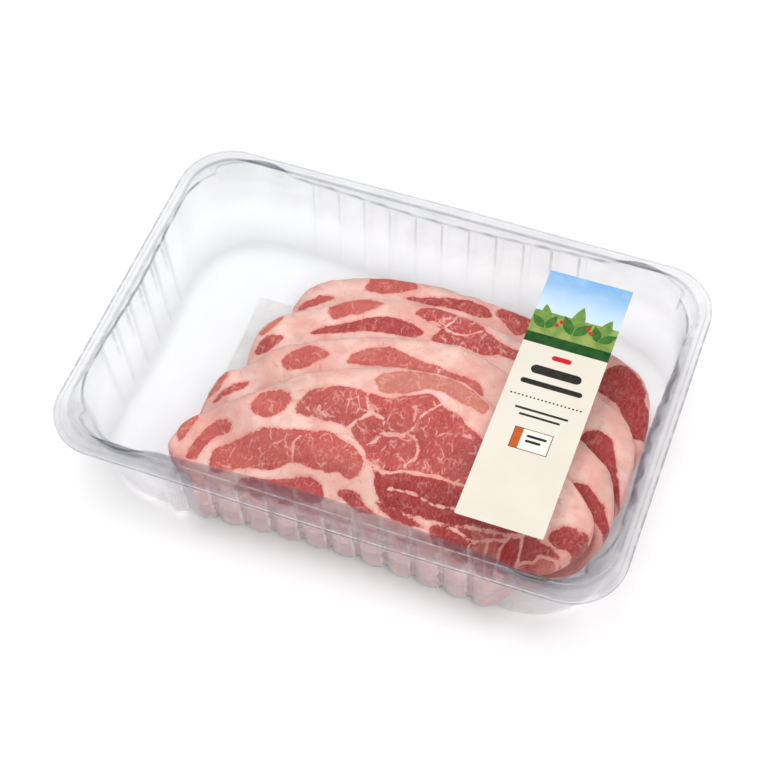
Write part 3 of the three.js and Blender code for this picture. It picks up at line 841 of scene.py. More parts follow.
def tray_profile(sheet):
    """Rings of the sheet's middle from the lip's edge to the floor, each with its painted shade, painted dark
    line and painted highlight.
    """
    middle = sheet / 2
    lip = LIP_TOP - middle
    land = LAND_TOP - middle
    rings = [
        (plain_ring(LIP, lip - 0.95, -middle), 0.7, 0.4, 0.0),
        (plain_ring(LIP, lip - 0.6, -middle), 0.7, 0.4, 0.0),
        (plain_ring(LIP, lip - 0.42, -middle - 0.2), 0.7, 0.2, 0.3),
        (plain_ring(LIP, lip - 0.36, -middle - 0.5), 0.7, 0.0, 0.5),
        (plain_ring(LIP, lip - 0.34, -middle - 0.8), 0.7, 0.0, 0.0),
        (plain_ring(LIP, lip - 0.15, -2.2), 0.7, 0.0, 0.0),
        (plain_ring(LIP, lip - 0.02, -2.8), 0.8, 0.15, 0.0),
        (plain_ring(LIP, lip, -3.3), 0.8, 0.0, 0.0),
        (plain_ring(RISER, lip, 2.2), 0.8, 0.0, 0.0),
        (plain_ring(RISER, lip, 1.2), 0.9, 0.1, 0.0),
        (plain_ring(RISER, lip + 0.12, 0.75), 0.9, 0.25, 0.0),
        (plain_ring(RISER, lip + 0.5, 0.45), 0.9, 0.1, 0.0),
        (plain_ring(RISER, land - 0.6, 0.15), 0.9, 0.1, 0.0),
        (plain_ring(RISER, land - 0.15, -0.05), 1.0, 0.1, 0.4),
        (plain_ring(RISER, land, -0.5), 1.0, 0.1, 0.0),
        (plain_ring(RISER, land, -0.9), 1.0, 0.1, 0.0),
        (wall_ring(land, 0.0, 1.0, -1.0), 1.0, 0.0, 0.0),
        (wall_ring(land - 0.06, 0.0, 1.0, -0.45), 1.0, 0.3, 0.0),
        (wall_ring(land - 0.3, 0.02, 1.0, -0.12), 1.0, 0.6, 0.0),
        (wall_ring(land - 0.8, 0.12, 1.0, 0.05), 0.9, 0.1, 0.0),
        (wall_ring(land - 1.2, 0.35, 1.0, 0.15), 0.9, 0.0, 0.0),
        (wall_ring(land - 1.7, 0.7, 1.0, 0.2), 0.85, 0.0, 0.0),
        (wall_ring(land - 2.3, 0.92, 1.0, 0.2), 0.85, 0.0, 0.0),
        (wall_ring(land - 3.2, 1.0, 1.0, 0.2), 0.8, 0.0, 0.0),
        (wall_ring(EAR_FLOOR + 1.6, 1.0, 1.0, 0.2), 0.75, 0.0, 0.0),
        (wall_ring(EAR_FLOOR + 0.7, 1.0, 0.96, 0.2), 0.7, 0.0, 0.0),
        (wall_ring(EAR_FLOOR + 0.25, 1.0, 0.8, 0.2), 0.7, 0.0, 0.0),
        (wall_ring(EAR_FLOOR + 0.05, 1.0, 0.45, 0.2), 0.7, 0.0, 0.0),
        (wall_ring(EAR_FLOOR - 0.15, 1.0, 0.12, 0.2), 0.7, 0.0, 0.0),
        (wall_ring(EAR_FLOOR - 0.7, 1.0, 0.0, 0.2), 0.65, 0.0, 0.0),
    ]
    # Painted shade on the wall, stronger towards its top.
    for z in np.linspace(EAR_FLOOR - 3, BOTTOM_FILLET + 4, 9):
        painted_shade = 0.1 + 0.45 * smoothstep(22.0, 40.0, z)
        rings.append((wall_ring(float(z), 1.0, 0.0, 0.2), float(painted_shade), 0.0, 0.0))
    rise_over = BOTTOM_FILLET - middle
    for step in np.linspace(0, math.pi / 2, 8):
        flute = 1.0 - 0.75 * smoothstep(0.3, 1.57, step)
        rings.append((wall_ring(
            middle + rise_over * (1 - math.sin(step)), float(flute), 0.0,
            0.2 + rise_over * (1 - math.cos(step))), 0.08, 0.0, 0.0))
    return rings


def painted_edge_marks(stations, height):
    """Where a ring shows the flutes' edges: painted dark lines high up inside, and painted white highlights
    low in front.
    """
    turn, along, corner = stations.T
    on_front = (turn.astype(int) == 3) & (corner < 0)
    half = np.where(turn % 2 == 1, RIBS_LONG_SIDE - 1, RIBS_SHORT_SIDE - 1) / 2 * FLUTE_PITCH
    near = along - np.clip(np.round(along / FLUTE_PITCH) * FLUTE_PITCH, -half, half)
    flank = np.exp(-((np.abs(near) - 1.7) / 0.35) ** 2) * (corner < 0)
    one_side = np.where(near > 0, 1.0, 0.0)
    across = smoothstep(1.4, 1.9, near) * smoothstep(6.4, 4.4, near)
    top = np.exp(-((height - POCKET_TOP) / 0.45) ** 2) * across
    on_left = turn.astype(int) == 2
    strength = np.where(on_left, 0.2, 0.5)
    # Painted dark lines on one flank of each flute, high up on the sides and behind.
    flank_shade_line = flank * one_side * smoothstep(24.0, 50.0, height) * (height < LAND_TOP - 1.9)
    line = strength * np.maximum(flank_shade_line, top * (corner < 0))
    # Painted highlights: white lines on the front flutes' flanks and along the foot of the front wall.
    glint = flank * 0.6 * on_front * smoothstep(46.0, 34.0, height)
    foot = np.exp(-((height - 1.6) / 1.1) ** 2) * on_front * 0.7
    return line * ~on_front, np.maximum(glint, foot)


def shell_from_rings(rings, centre, sheet):
    """Both faces of a sheet from the rings of its middle surface, closed at its edge and at its centre."""
    grid = np.stack(rings)
    levels, count, _ = grid.shape
    ahead = np.roll(grid, -1, axis=1) - np.roll(grid, 1, axis=1)
    down = np.empty_like(grid)
    down[1:-1] = grid[2:] - grid[:-2]
    down[0] = grid[1] - grid[0]
    down[-1] = grid[-1] - grid[-2]
    normal = np.cross(down, ahead)
    normal /= np.linalg.norm(normal, axis=2, keepdims=True)
    outer = grid + normal * sheet / 2
    inner = grid - normal * sheet / 2
    middle = np.array(centre)
    points = np.concatenate([outer.reshape(-1, 3), inner.reshape(-1, 3),
                             [middle - (0, 0, sheet / 2), middle + (0, 0, sheet / 2)]])
    step = np.arange(count)
    following = (step + 1) % count
    faces = []
    inner_start = levels * count
    for level in range(levels - 1):
        a = level * count
        b = a + count
        faces += np.stack([a + following, a + step, b + step, b + following], axis=1).tolist()
        a += inner_start
        b += inner_start
        faces += np.stack([a + step, a + following, b + following, b + step], axis=1).tolist()
    faces += np.stack([step, following, inner_start + following, inner_start + step], axis=1).tolist()
    last = (levels - 1) * count
    low = 2 * levels * count
    faces += [[low, last + n, last + s] for s, n in zip(step, following)]
    faces += [[low + 1, inner_start + last + s, inner_start + last + n] for s, n in zip(step, following)]
    return points, faces


def make_tray(settings):
    """The fluted tray, as fine rings of one thin sheet."""
    sheet = settings.sheet_thickness / MM
    stations = tray_stations()
    rings = []
    marks = {"painted_shade": [], "painted_reflection": [], "line": [], "glint": []}
    for ring, painted_shade, line, glint in tray_profile(sheet):
        points = tray_ring(stations, ring)
        rings.append(points)
        front = smoothstep(58.0, 76.0, -points[:, 1])
        behind = smoothstep(58.0, 76.0, points[:, 1])
        beside = smoothstep(90.0, 118.0, points[:, 0])
        # The painted shade is full at the front, about two thirds behind and at the right end, and a third at
        # the left end.
        round_about = np.maximum(front, 0.32 + 0.34 * np.maximum(behind, beside))
        dark, white = painted_edge_marks(stations, ring["z"]) if ring["flute"] > 0 else (0.0, 0.0)
        marks["painted_shade"].append(painted_shade * round_about)
        low_down = smoothstep(42.0, 32.0, ring["z"])
        # Painted reflection: a white veil low on the front wall, standing in for the floor mirrored in it.
        marks["painted_reflection"].append(front * low_down * (0.4 + 0.6 * smoothstep(0.5, 6.0, ring["z"])))
        # Painted dark lines, fainter at the front and behind.
        marks["line"].append(np.maximum(line * (1.0 - 0.6 * front - 0.65 * behind), dark))
        marks["glint"].append(np.maximum(glint * (0.4 + 0.6 * front), white))
    floor_edge = rings[-1]
    for share in (0.985, 0.95, 0.88, 0.76, 0.6, 0.42, 0.24, 0.08):
        rings.append(floor_edge * (share, share, 1.0))
        for key, values in marks.items():
            values.append(np.full(len(stations), 0.08 if key == "painted_shade" else 0.0))
    points, faces = shell_from_rings(rings, (0.0, 0.0, sheet / 2), sheet)
    made = add_mesh("tray_shell", points, faces)
    for key, values in marks.items():
        flat = np.concatenate(values)
        add_values(made, key, np.concatenate([flat, flat, [0.0, 0.0]]))
    made.data.materials.append(tray_material(settings))
    return made


# The steaks

def spread(count, ease):
    """Shares from 0 to 1 that lie closer together at both ends."""
    even = np.linspace(0.0, 1.0, count)
    return (1 - ease) * even + ease * (0.5 - 0.5 * np.cos(math.pi * even))


def steak_plan(outline):
    """A grid of plan points that fills an outline, in columns from its left end to its right end."""
    left = int(np.argmin(outline[:, 0]))
    turned = np.roll(outline, -left, axis=0)
    right = int(np.argmax(turned[:, 0]))
    back = turned[:right + 1]
    front = np.concatenate([turned[right:], turned[:1]])[::-1]
    span = turned[right, 0] - turned[0, 0]
    x = turned[0, 0] + span * (0.0006 + 0.9988 * spread(STEAK_COLUMNS, 0.85))
    back_y = np.interp(x, np.maximum.accumulate(back[:, 0]), back[:, 1])
    front_y = np.interp(x, np.maximum.accumulate(front[:, 0]), front[:, 1])
    share = spread(STEAK_ROWS, 0.6)
    y = front_y[:, None] + (back_y - front_y)[:, None] * share[None, :]
    return np.stack([np.repeat(x[:, None], STEAK_ROWS, axis=1), y], axis=2).reshape(-1, 2)


def rest_height(below, points):
    """The height of the pad, or of the steaks below where the points lie over them."""
    height = np.full(len(points), PAD_TOP)
    for outline in below:
        over = smoothstep(-DRAPE_REACH, -DRAPE_CLEAR, inside_distance(outline, points))
        height += (STEAK_THICKNESS + LAYER_GAP) * over
    return height


def line_distance(line, points):
    """Each point's distance to an open line."""
    nearest = np.full(len(points), np.inf)
    for a, b in zip(np.array(line, dtype=float), np.array(line[1:], dtype=float)):
        edge = b - a
        share = np.clip(((points - a) @ edge) / max(edge @ edge, 1e-9), 0.0, 1.0)
        away = points - a - share[:, None] * edge
        nearest = np.minimum(nearest, np.hypot(away[:, 0], away[:, 1]))
    return nearest


def muscle_fields(name, points):
    """Each point's distance into the nearest muscle, less the seams, with the tone and marbling there."""
    depth = np.full(len(points), -20.0)
    tone = np.full(len(points), 0.5)
    marbling = np.full(len(points), LIGHT_MARBLING)
    for muscle, (shade, outline) in MUSCLES[name].items():
        found = inside_distance(smooth_outline(outline, 5), points)
        marbling = np.maximum(marbling, HEAVY_MARBLING.get(muscle, 0.0) * smoothstep(-1.0, 2.0, found))
        weight = smoothstep(-3.0, 1.2, found)
        tone = tone * (1.0 - weight) + shade * weight
        depth = np.maximum(depth, found)
    for half_width, line in SEAMS[name]:
        crooked = 0.35 * soft_noise(points, 1.9, 71)
        depth = np.minimum(depth, 1.6 * (line_distance(line, points) - half_width + crooked))
    return np.clip(depth, -8.0, 8.0), tone, marbling


def steak_relief(points, depth, seed):
    """The cut face's gentle swells, a groove round each muscle, and each muscle's slight crown."""
    swell = 0.7 * soft_noise(points, 34.0, seed) + 0.4 * soft_noise(points, 13.0, seed + 1)
    ripple = 0.2 * soft_noise(points, 5.0, seed + 2) + 0.1 * soft_noise(points, 2.0, seed + 3)
    groove = -0.35 * np.exp(-((depth - 0.1) / 0.7) ** 2)
    crown = 0.35 * smoothstep(0.5, 4.0, depth)
    return swell + ripple + groove + crown


def cut_outline(name, seed):
    """A steak's outline with a knife's and a bone's small unevenness, inside its solid's outline."""
    outline = smooth_outline(STEAK_OUTLINES[name], 16)
    ahead = np.roll(outline, -1, axis=0) - np.roll(outline, 1, axis=0)
    outward = np.stack([-ahead[:, 1], ahead[:, 0]], axis=1)
    outward /= np.linalg.norm(outward, axis=1, keepdims=True)
    uneven = 0.5 + 0.3 * soft_noise(outline, 6.0, seed) + 0.2 * soft_noise(outline, 2.2, seed + 1)
    return outline - outward * (1.3 * uneven)[:, None]


def press_to_wall(name, plan, height):
    """The front steaks' plan points, moved so that their front edge follows the tray's fluted wall."""
    if name not in PRESSED_STEAKS:
        return plan
    grid = plan.reshape(STEAK_COLUMNS, STEAK_ROWS, 2)
    along = grid[:, 0, 0]
    edge = grid[:, 0, 1]
    full = MOUTH["half_x"] - BOTTOM_RADIUS
    bow = MOUTH["pull_y"] * np.cos(np.clip(along / full, -1.0, 1.0) * math.pi / 2) ** 2
    plain = MOUTH["half_y"] - WALL_TAPER * (LAND_TOP - height) - bow
    wall = plain + POCKET_DEPTH * pocket_share(along, RIBS_LONG_SIDE)
    reach = smoothstep(-70.0, -60.0, along) * smoothstep(88.0, 74.0, along)
    push = (edge + wall - WALL_CLEARANCE) * reach
    share = smoothstep(PRESSED_REACH, 0.0, grid[:, :, 1] - edge[:, None])
    moved = grid.copy()
    moved[:, :, 1] -= push[:, None] * share
    return moved.reshape(-1, 2)


def slab_faces(columns, rows, side_rows):
    """The faces of a slab whose top and bottom are grids, with rows of points round its side."""
    number = np.arange(columns * rows).reshape(columns, rows)
    corners = (number[:-1, :-1], number[1:, :-1], number[1:, 1:], number[:-1, 1:])
    quads = np.stack(corners, axis=2).reshape(-1, 4)
    bottom = columns * rows
    rim = np.concatenate([number[:, 0], number[-1, 1:], number[-2::-1, -1], number[0, -2:0:-1]])
    loops = [rim]
    for row in range(side_rows):
        loops.append(2 * bottom + row * len(rim) + np.arange(len(rim)))
    loops.append(rim + bottom)
    faces = [quads, (quads + bottom)[:, ::-1]]
    for upper, lower in zip(loops, loops[1:]):
        faces.append(np.stack([upper, lower, np.roll(lower, -1), np.roll(upper, -1)], axis=1))
    return np.concatenate(faces), rim


def make_steak(name, below, above, seed):
    """One steak: its outline, its drape over the steaks under it, its edge and its muscles."""
    outline = cut_outline(name, seed)
    plan = steak_plan(outline)
    rim_distance = np.maximum(inside_distance(outline, plan), 0.0)
    short = np.clip(STEAK_EDGE - rim_distance, 0.0, STEAK_EDGE)
    rounding = STEAK_EDGE - np.sqrt(STEAK_EDGE ** 2 - short ** 2)
    rest = rest_height(below, plan)
    depth, tone, marbling = muscle_fields(name, plan)
    cover = np.full(len(plan), -99.0)
    if above:
        cover = inside_distance(smooth_outline(STEAK_OUTLINES[above], 6), plan)
    shown = 1.0 - smoothstep(-1.0, 5.0, cover)
    relief = steak_relief(plan, depth, seed) * smoothstep(0.0, 4.0, rim_distance) * (0.15 + 0.85 * shown)
    top = rest + STEAK_THICKNESS - rounding + relief
    bottom = rest + rounding
    away = plan - plan.mean(axis=0)
    back = smoothstep(7.0, 1.0, rim_distance) * smoothstep(0.0, 14.0, away[:, 1])
    front = smoothstep(9.0, 4.0, rim_distance) * smoothstep(-62.0, -69.0, plan[:, 1])
    # Painted shade under and beside the steak above, weaker on the cut front edge that lies against the wall.
    crease_shade = np.exp(np.minimum(cover, 0.0) / 2.2) * (1.0 - 0.85 * front)
    faces, rim = slab_faces(STEAK_COLUMNS, STEAK_ROWS, STEAK_SIDE_ROWS)
    plan = press_to_wall(name, plan, float(rest.min()) + STEAK_THICKNESS / 2)
    stacks = [np.column_stack([plan, top]), np.column_stack([plan, bottom])]
    outward = np.roll(plan[rim], -1, axis=0) - np.roll(plan[rim], 1, axis=0)
    outward = np.column_stack([outward[:, 1], -outward[:, 0]])
    outward /= np.maximum(np.linalg.norm(outward, axis=1, keepdims=True), 1e-6)
    for row in range(STEAK_SIDE_ROWS):
        share = (row + 1) / (STEAK_SIDE_ROWS + 1)
        level = top[rim] + (bottom[rim] - top[rim]) * share
        stacks.append(np.column_stack([plan[rim] + 0.12 * outward, level]))
    made = add_mesh(name + "_steak", np.concatenate(stacks), faces)
    fields = {
        "muscle": depth, "tone": tone, "marbling": marbling, "crease_shade": crease_shade, "back": back, "front": front,
    }
    for key, values in fields.items():
        add_values(made, key, np.concatenate([values, values, np.tile(values[rim], STEAK_SIDE_ROWS)]))
    side = np.zeros(len(rim) * STEAK_SIDE_ROWS)
    add_values(made, "rim", np.concatenate([rim_distance, rim_distance, side]))
    return made


# The pad

def pad_nodes():
    """A node tree for an absorbent pad: a thin block whose top is pressed into rows of soft dimples."""
    lengths = {"Length": 165.0, "Width": 88.0, "Thickness": 1.2, "Pitch": 5.5, "Depth": DIMPLE_DEPTH}
    tree, start = new_group("embossed_pad", lengths)
    size = add_node(tree, "ShaderNodeCombineXYZ")
    for axis, key in zip("XYZ", ("Length", "Width", "Thickness")):
        tree.links.new(start.outputs[key], size.inputs[axis])
    block = add_node(tree, "GeometryNodeMeshCube")
    tree.links.new(size.outputs[0], block.inputs["Size"])
    for key, amount in (("Vertices X", 150), ("Vertices Y", 80), ("Vertices Z", 2)):
        block.inputs[key].default_value = amount
    place = add_node(tree, "GeometryNodeInputPosition")
    split = add_node(tree, "ShaderNodeSeparateXYZ")
    tree.links.new(place.outputs[0], split.inputs[0])
    waves = []
    for axis in "XY":
        turns = multiply(tree, do_math(tree, "DIVIDE", split.outputs[axis], start.outputs["Pitch"]), math.pi)
        waves.append(do_math(tree, "ABSOLUTE", do_math(tree, "SINE", turns)))
    on_top = do_math(tree, "GREATER_THAN", split.outputs["Z"], 0.0)
    drop = multiply(tree, waves[0], waves[1], start.outputs["Depth"], on_top, -1.0)
    offset = add_node(tree, "ShaderNodeCombineXYZ")
    tree.links.new(drop, offset.inputs["Z"])
    pressed = add_node(tree, "GeometryNodeSetPosition")
    tree.links.new(block.outputs["Mesh"], pressed.inputs["Geometry"])
    tree.links.new(offset.outputs[0], pressed.inputs["Offset"])
    end_group(tree, start, pressed.outputs[0])
    return tree


def run_nodes(name, tree, values, offset):
    """A plain mesh object from a node tree with its inputs set by name, moved to its place."""
    carrier = bpy.data.objects.new(name + "_carrier", bpy.data.meshes.new(name + "_carrier"))
    bpy.context.scene.collection.objects.link(carrier)
    modifier = carrier.modifiers.new(name, "NODES")
    modifier.node_group = tree
    for item in tree.interface.items_tree:
        if item.item_type == "SOCKET" and item.in_out == "INPUT" and item.name in values:
            modifier[item.identifier] = values[item.name]
    evaluated = carrier.evaluated_get(bpy.context.evaluated_depsgraph_get())
    mesh = bpy.data.meshes.new_from_object(evaluated)
    mesh.name = name
    mesh.transform(Matrix.Translation(Vector(offset)))
    carrier.modifiers.remove(modifier)
    bpy.data.objects.remove(carrier)
    made = bpy.data.objects.new(name, mesh)
    bpy.context.scene.collection.objects.link(made)
    return made


# The film and the label

def make_film():
    """The lidding film: the solid's own plate, as a fine flat sheet with a rounded outline."""
    low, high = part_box("lid_film")
    steps = np.linspace(0, math.pi / 2, 25)
    half_x = (high[0] - low[0]) / 2 / MM
    half_y = (high[1] - low[1]) / 2 / MM
    outline = []
    for turn in range(4):
        sign_x = 1 if turn in (0, 3) else -1
        sign_y = 1 if turn in (0, 1) else -1
        angles = steps + turn * math.pi / 2
        outline += [(sign_x * (half_x - FILM_CORNER) + FILM_CORNER * math.cos(a),
                     sign_y * (half_y - FILM_CORNER) + FILM_CORNER * math.sin(a)) for a in angles]
    outline = np.array(outline)
    count = len(outline)
    rings = []
    for z in (low[2] / MM, high[2] / MM):
        for share in (0.2, 0.55, 0.8, 0.93, 1.0):
            rings.append(np.column_stack([outline * share, np.full(count, z)]))
    rings = rings[:5] + rings[:4:-1]
    points = np.concatenate(rings + [np.array([[0, 0, low[2] / MM], [0, 0, high[2] / MM]])])
    step = np.arange(count)
    following = (step + 1) % count
    faces = []
    for ring in range(len(rings) - 1):
        a = ring * count
        faces += np.stack([a + step, a + following, a + count + following, a + count + step], axis=1).tolist()
    centre = len(rings) * count
    faces += [[centre, n, s] for s, n in zip(step, following)]
    last = (len(rings) - 1) * count
    faces += [[centre + 1, last + s, last + n] for s, n in zip(step, following)]
    made = add_mesh("film_sheet", points, faces, smooth=False)
    made.data.materials.append(film_material())
    return made


def disc(centre, radius, start=0.0, stop=360.0, steps=48):
    """Points of a circle or of an arc in label millimetres, with angles in degrees."""
    full = stop - start >= 360.0
    angles = np.radians(np.linspace(start, stop, steps + 1))[:-1 if full else None]
    return [(centre[0] + radius * math.cos(a), centre[1] + radius * math.sin(a)) for a in angles]


def bar(centre, length, height):
    """A bar with round ends in label millimetres."""
    radius = height / 2
    reach = length / 2 - radius
    right = disc((centre[0] + reach, centre[1]), radius, -90, 90, 10)
    left = disc((centre[0] - reach, centre[1]), radius, 90, 270, 10)
    return right + left


def leaf(foot, length, width, lean):
    """A pointed leaf in label millimetres, from its foot, with its lean from upright in degrees."""
    share = np.linspace(0.0, 1.0, 15)
    half = width / 2 * np.sin(math.pi * share ** 0.85)
    across = np.concatenate([half, -half[-2:0:-1]])
    along = length * np.concatenate([share, share[-2:0:-1]])
    cosine = math.cos(math.radians(lean))
    sine = math.sin(math.radians(lean))
    return [(foot[0] + a * cosine + b * sine, foot[1] + b * cosine - a * sine) for a, b in zip(across, along)]


def block(left, low, right, high):
    """A rectangle in label millimetres."""
    return [(left, low), (right, low), (right, high), (left, high)]


def label_shapes():
    """The print as (ink, step, outline): leaves and berries on blue over green, bars and a framed field."""
    middle = LABEL_WIDTH / 2
    shapes = [
        ("blue_ground", 1, block(0.0, 112.0, LABEL_WIDTH, LABEL_LENGTH)),
        ("green_ground", 1, block(0.0, 99.5, LABEL_WIDTH, 112.0)),
        ("dark_green", 1, block(0.0, 94.0, LABEL_WIDTH, 99.5)),
        ("red", 1, bar((middle, 88.6), 9.0, 2.6)),
        ("dark", 1, bar((middle, 80.6), 23.0, 4.6)),
        ("dark", 1, bar((middle, 73.4), 28.0, 2.7)),
        ("dark", 1, bar((middle, 59.2), 24.0, 1.1)),
        ("dark", 1, bar((middle, 56.2), 18.5, 1.1)),
        ("brown", 1, block(middle - 8.6, 38.6, middle + 8.6, 49.6)),
        ("white", 2, block(middle - 8.2, 39.0, middle + 8.2, 49.2)),
        ("orange", 3, block(middle - 8.2, 39.0, middle - 4.6, 49.2)),
        ("dark", 3, bar((middle + 2.0, 46.2), 9.0, 1.3)),
        ("dark", 3, bar((middle + 1.0, 43.6), 7.0, 1.3)),
    ]
    for x, length, width, lean in ((7.0, 12.0, 5.2, -14.0), (19.6, 15.0, 6.0, 4.0), (31.6, 12.5, 5.4, 14.0)):
        shapes.append(("light_green", 2, leaf((x, 104.5), length, width, lean)))
        shapes.append(("mid_green", 3, leaf((x - 0.4, 103.0), 0.72 * length, 0.8 * width, lean - 34.0)))
        shapes.append(("mid_green", 4, leaf((x + 0.4, 103.0), 0.72 * length, 0.8 * width, lean + 36.0)))
    for x, y in ((13.4, 108.4), (11.6, 106.2), (25.6, 108.8), (27.2, 106.6)):
        shapes.append(("berry", 5, disc((x, y), 1.1, steps=20)))
    return shapes


def make_print(low, top):
    """Every printed shape as a thin plate on the label, joined in one mesh with a material for each ink."""
    inks = {name: ink_material("print_" + name, *shades) for name, shades in PRINT_INKS.items()}
    inks["blue_ground"] = blue_ground_material()
    names = list(inks)
    mesh = bpy.data.meshes.new("label_print")
    for name in names:
        mesh.materials.append(inks[name])
    shape = bmesh.new()
    for ink, level, outline in label_shapes():
        foot = top - PRINT_LIFT * PRINT_STEPS + PRINT_LIFT * (level - 1)
        head = top - PRINT_LIFT * PRINT_STEPS + PRINT_LIFT * level
        placed = [((low[0] / MM + u) * MM, (low[1] / MM + v) * MM) for u, v in outline]
        rows = []
        for z in (foot, head):
            rows.append([shape.verts.new((x, y, z * MM)) for x, y in placed])
        made = [shape.faces.new(rows[1]), shape.faces.new(rows[0][::-1])]
        for index in range(len(outline)):
            after = (index + 1) % len(outline)
            made.append(shape.faces.new((rows[0][index], rows[0][after], rows[1][after], rows[1][index])))
        for face in made:
            face.material_index = names.index(ink)
    bmesh.ops.triangulate(shape, faces=[face for face in shape.faces if len(face.verts) > 4])
    shape.to_mesh(mesh)
    shape.free()
    made = bpy.data.objects.new("label_print", mesh)
    bpy.context.scene.collection.objects.link(made)
    return made


def make_paper(low, high, top):
    """The label's paper: a thin plate with slightly softened corners."""
    centre = ((low[0] + high[0]) / 2 / MM, (low[1] + high[1]) / 2 / MM)
    half = (LABEL_WIDTH / 2 - LABEL_CORNER, LABEL_LENGTH / 2 - LABEL_CORNER)
    outline = []
    for turn, (sign_x, sign_y) in enumerate(((1, 1), (-1, 1), (-1, -1), (1, -1))):
        middle = (centre[0] + sign_x * half[0], centre[1] + sign_y * half[1])
        outline += disc(middle, LABEL_CORNER, turn * 90, turn * 90 + 90, 6)
    count = len(outline)
    points = [(x, y, low[2] / MM) for x, y in outline] + [(x, y, top) for x, y in outline]
    faces = [list(range(count))[::-1], [count + step for step in range(count)]]
    faces += [[step, (step + 1) % count, count + (step + 1) % count, count + step] for step in range(count)]
    made = add_mesh("label_paper", points, faces, smooth=False)
    made.data.materials.append(ink_material("label_paper", (226, 219, 206), (221, 214, 199), 25.0))
    return made


def dots_nodes():
    """A node tree for a dotted line: a row of small round plates."""
    lengths = {
        "Spacing": DOTS_LENGTH / (DOTS_COUNT - 1), "Radius": DOTS_RADIUS, "Thickness": PRINT_LIFT,
    }
    tree, start = new_group("dotted_line", lengths)
    count = tree.interface.new_socket("Count", in_out="INPUT", socket_type="NodeSocketInt")
    count.default_value = DOTS_COUNT
    line = add_node(tree, "GeometryNodeMeshLine")
    step = add_node(tree, "ShaderNodeCombineXYZ")
    tree.links.new(start.outputs["Spacing"], step.inputs["X"])
    tree.links.new(start.outputs["Count"], line.inputs["Count"])
    tree.links.new(step.outputs[0], line.inputs["Offset"])
    dot = add_node(tree, "GeometryNodeMeshCylinder")
    dot.inputs["Vertices"].default_value = 14
    tree.links.new(start.outputs["Radius"], dot.inputs["Radius"])
    tree.links.new(start.outputs["Thickness"], dot.inputs["Depth"])
    copies = add_node(tree, "GeometryNodeInstanceOnPoints")
    tree.links.new(line.outputs["Mesh"], copies.inputs["Points"])
    tree.links.new(dot.outputs["Mesh"], copies.inputs["Instance"])
    end_group(tree, start, copies.outputs[0])
    return tree


# The stage

def make_camera():
    """The camera, turned and tilted as the photograph was taken."""
    azimuth, elevation, roll = (math.radians(a) for a in (CAMERA_AZIMUTH, CAMERA_ELEVATION, CAMERA_ROLL))
    level = math.cos(elevation)
    back = Vector((math.sin(azimuth) * level, -math.cos(azimuth) * level, math.sin(elevation)))
    right = (-back).cross(Vector((0, 0, 1))).normalized()
    up = right.cross(-back)
    turned_right = math.cos(roll) * right + math.sin(roll) * up
    turned_up = math.cos(roll) * up - math.sin(roll) * right
    data = bpy.data.cameras.new("photo_camera")
    data.lens = CAMERA_LENS
    data.sensor_width = SENSOR_WIDTH
    camera = bpy.data.objects.new("photo_camera", data)
    place = (Vector(CAMERA_TARGET) + back * CAMERA_DISTANCE) * MM
    facing = Matrix((turned_right, turned_up, back)).transposed().to_4x4()
    camera.matrix_world = Matrix.Translation(place) @ facing
    bpy.context.scene.collection.objects.link(camera)
    bpy.context.scene.camera = camera


def add_softbox(name, place, target, size, watts):
    """A square lamp in metres and watts that shiny surfaces don't mirror."""
    data = bpy.data.lights.new(name, "AREA")
    data.shape = "SQUARE"
    data.size = size
    data.energy = watts
    lamp = bpy.data.objects.new(name, data)
    lamp.location = place
    lamp.rotation_euler = (Vector(target) - Vector(place)).to_track_quat("-Z", "Y").to_euler()
    lamp.visible_glossy = False
    bpy.context.scene.collection.objects.link(lamp)


def make_world(settings):
    """A white studio whose walls are darker than its ceiling."""
    world = bpy.data.worlds.new("studio")
    world.use_nodes = True
    tree = world.node_tree
    tree.nodes.clear()
    direction = add_node(tree, "ShaderNodeTexCoord")
    split = add_node(tree, "ShaderNodeSeparateXYZ")
    tree.links.new(direction.outputs["Generated"], split.inputs[0])
    shade = ramp(tree, rise(tree, split.outputs["Z"], -0.2, 0.95), [
        (0.0, (0.55, 0.56, 0.58, 1.0)), (0.45, (0.62, 0.63, 0.65, 1.0)), (1.0, (1.0, 1.0, 1.0, 1.0))])
    background = add_node(tree, "ShaderNodeBackground")
    feed(tree, background.inputs["Color"], shade)
    background.inputs["Strength"].default_value = settings.studio_light
    output = add_node(tree, "ShaderNodeOutputWorld")
    tree.links.new(background.outputs[0], output.inputs["Surface"])
    bpy.context.scene.world = world


def make_floor():
    """The plain pale floor, just under the pack."""
    material, tree = new_material("studio_floor")
    cloud = noise(tree, place_of(tree), 300.0, 1.0)
    shade = blend_colours(tree, cloud, (0.95, 0.95, 0.95, 1.0), (0.965, 0.965, 0.965, 1.0))
    shader = add_node(tree, "ShaderNodeBsdfDiffuse")
    feed(tree, shader.inputs["Color"], shade)
    finish_with(tree, shader.outputs[0])
    signs = ((-1, -1), (1, -1), (1, 1), (-1, 1))
    corners = [(x * FLOOR_REACH, y * FLOOR_REACH, -FLOOR_GAP) for x, y in signs]
    floor = add_mesh("studio_floor", corners, [(0, 1, 2, 3)], smooth=False)
    floor.data.materials.append(material)


# Properties

def shade_property(name, description, screen):
    """A colour setting, with its default as a screen shows it."""
    return bpy.props.FloatVectorProperty(
        name=name, description=description, subtype="COLOR", size=3, min=0.0, max=1.0,
        default=colour(*screen)[:3])


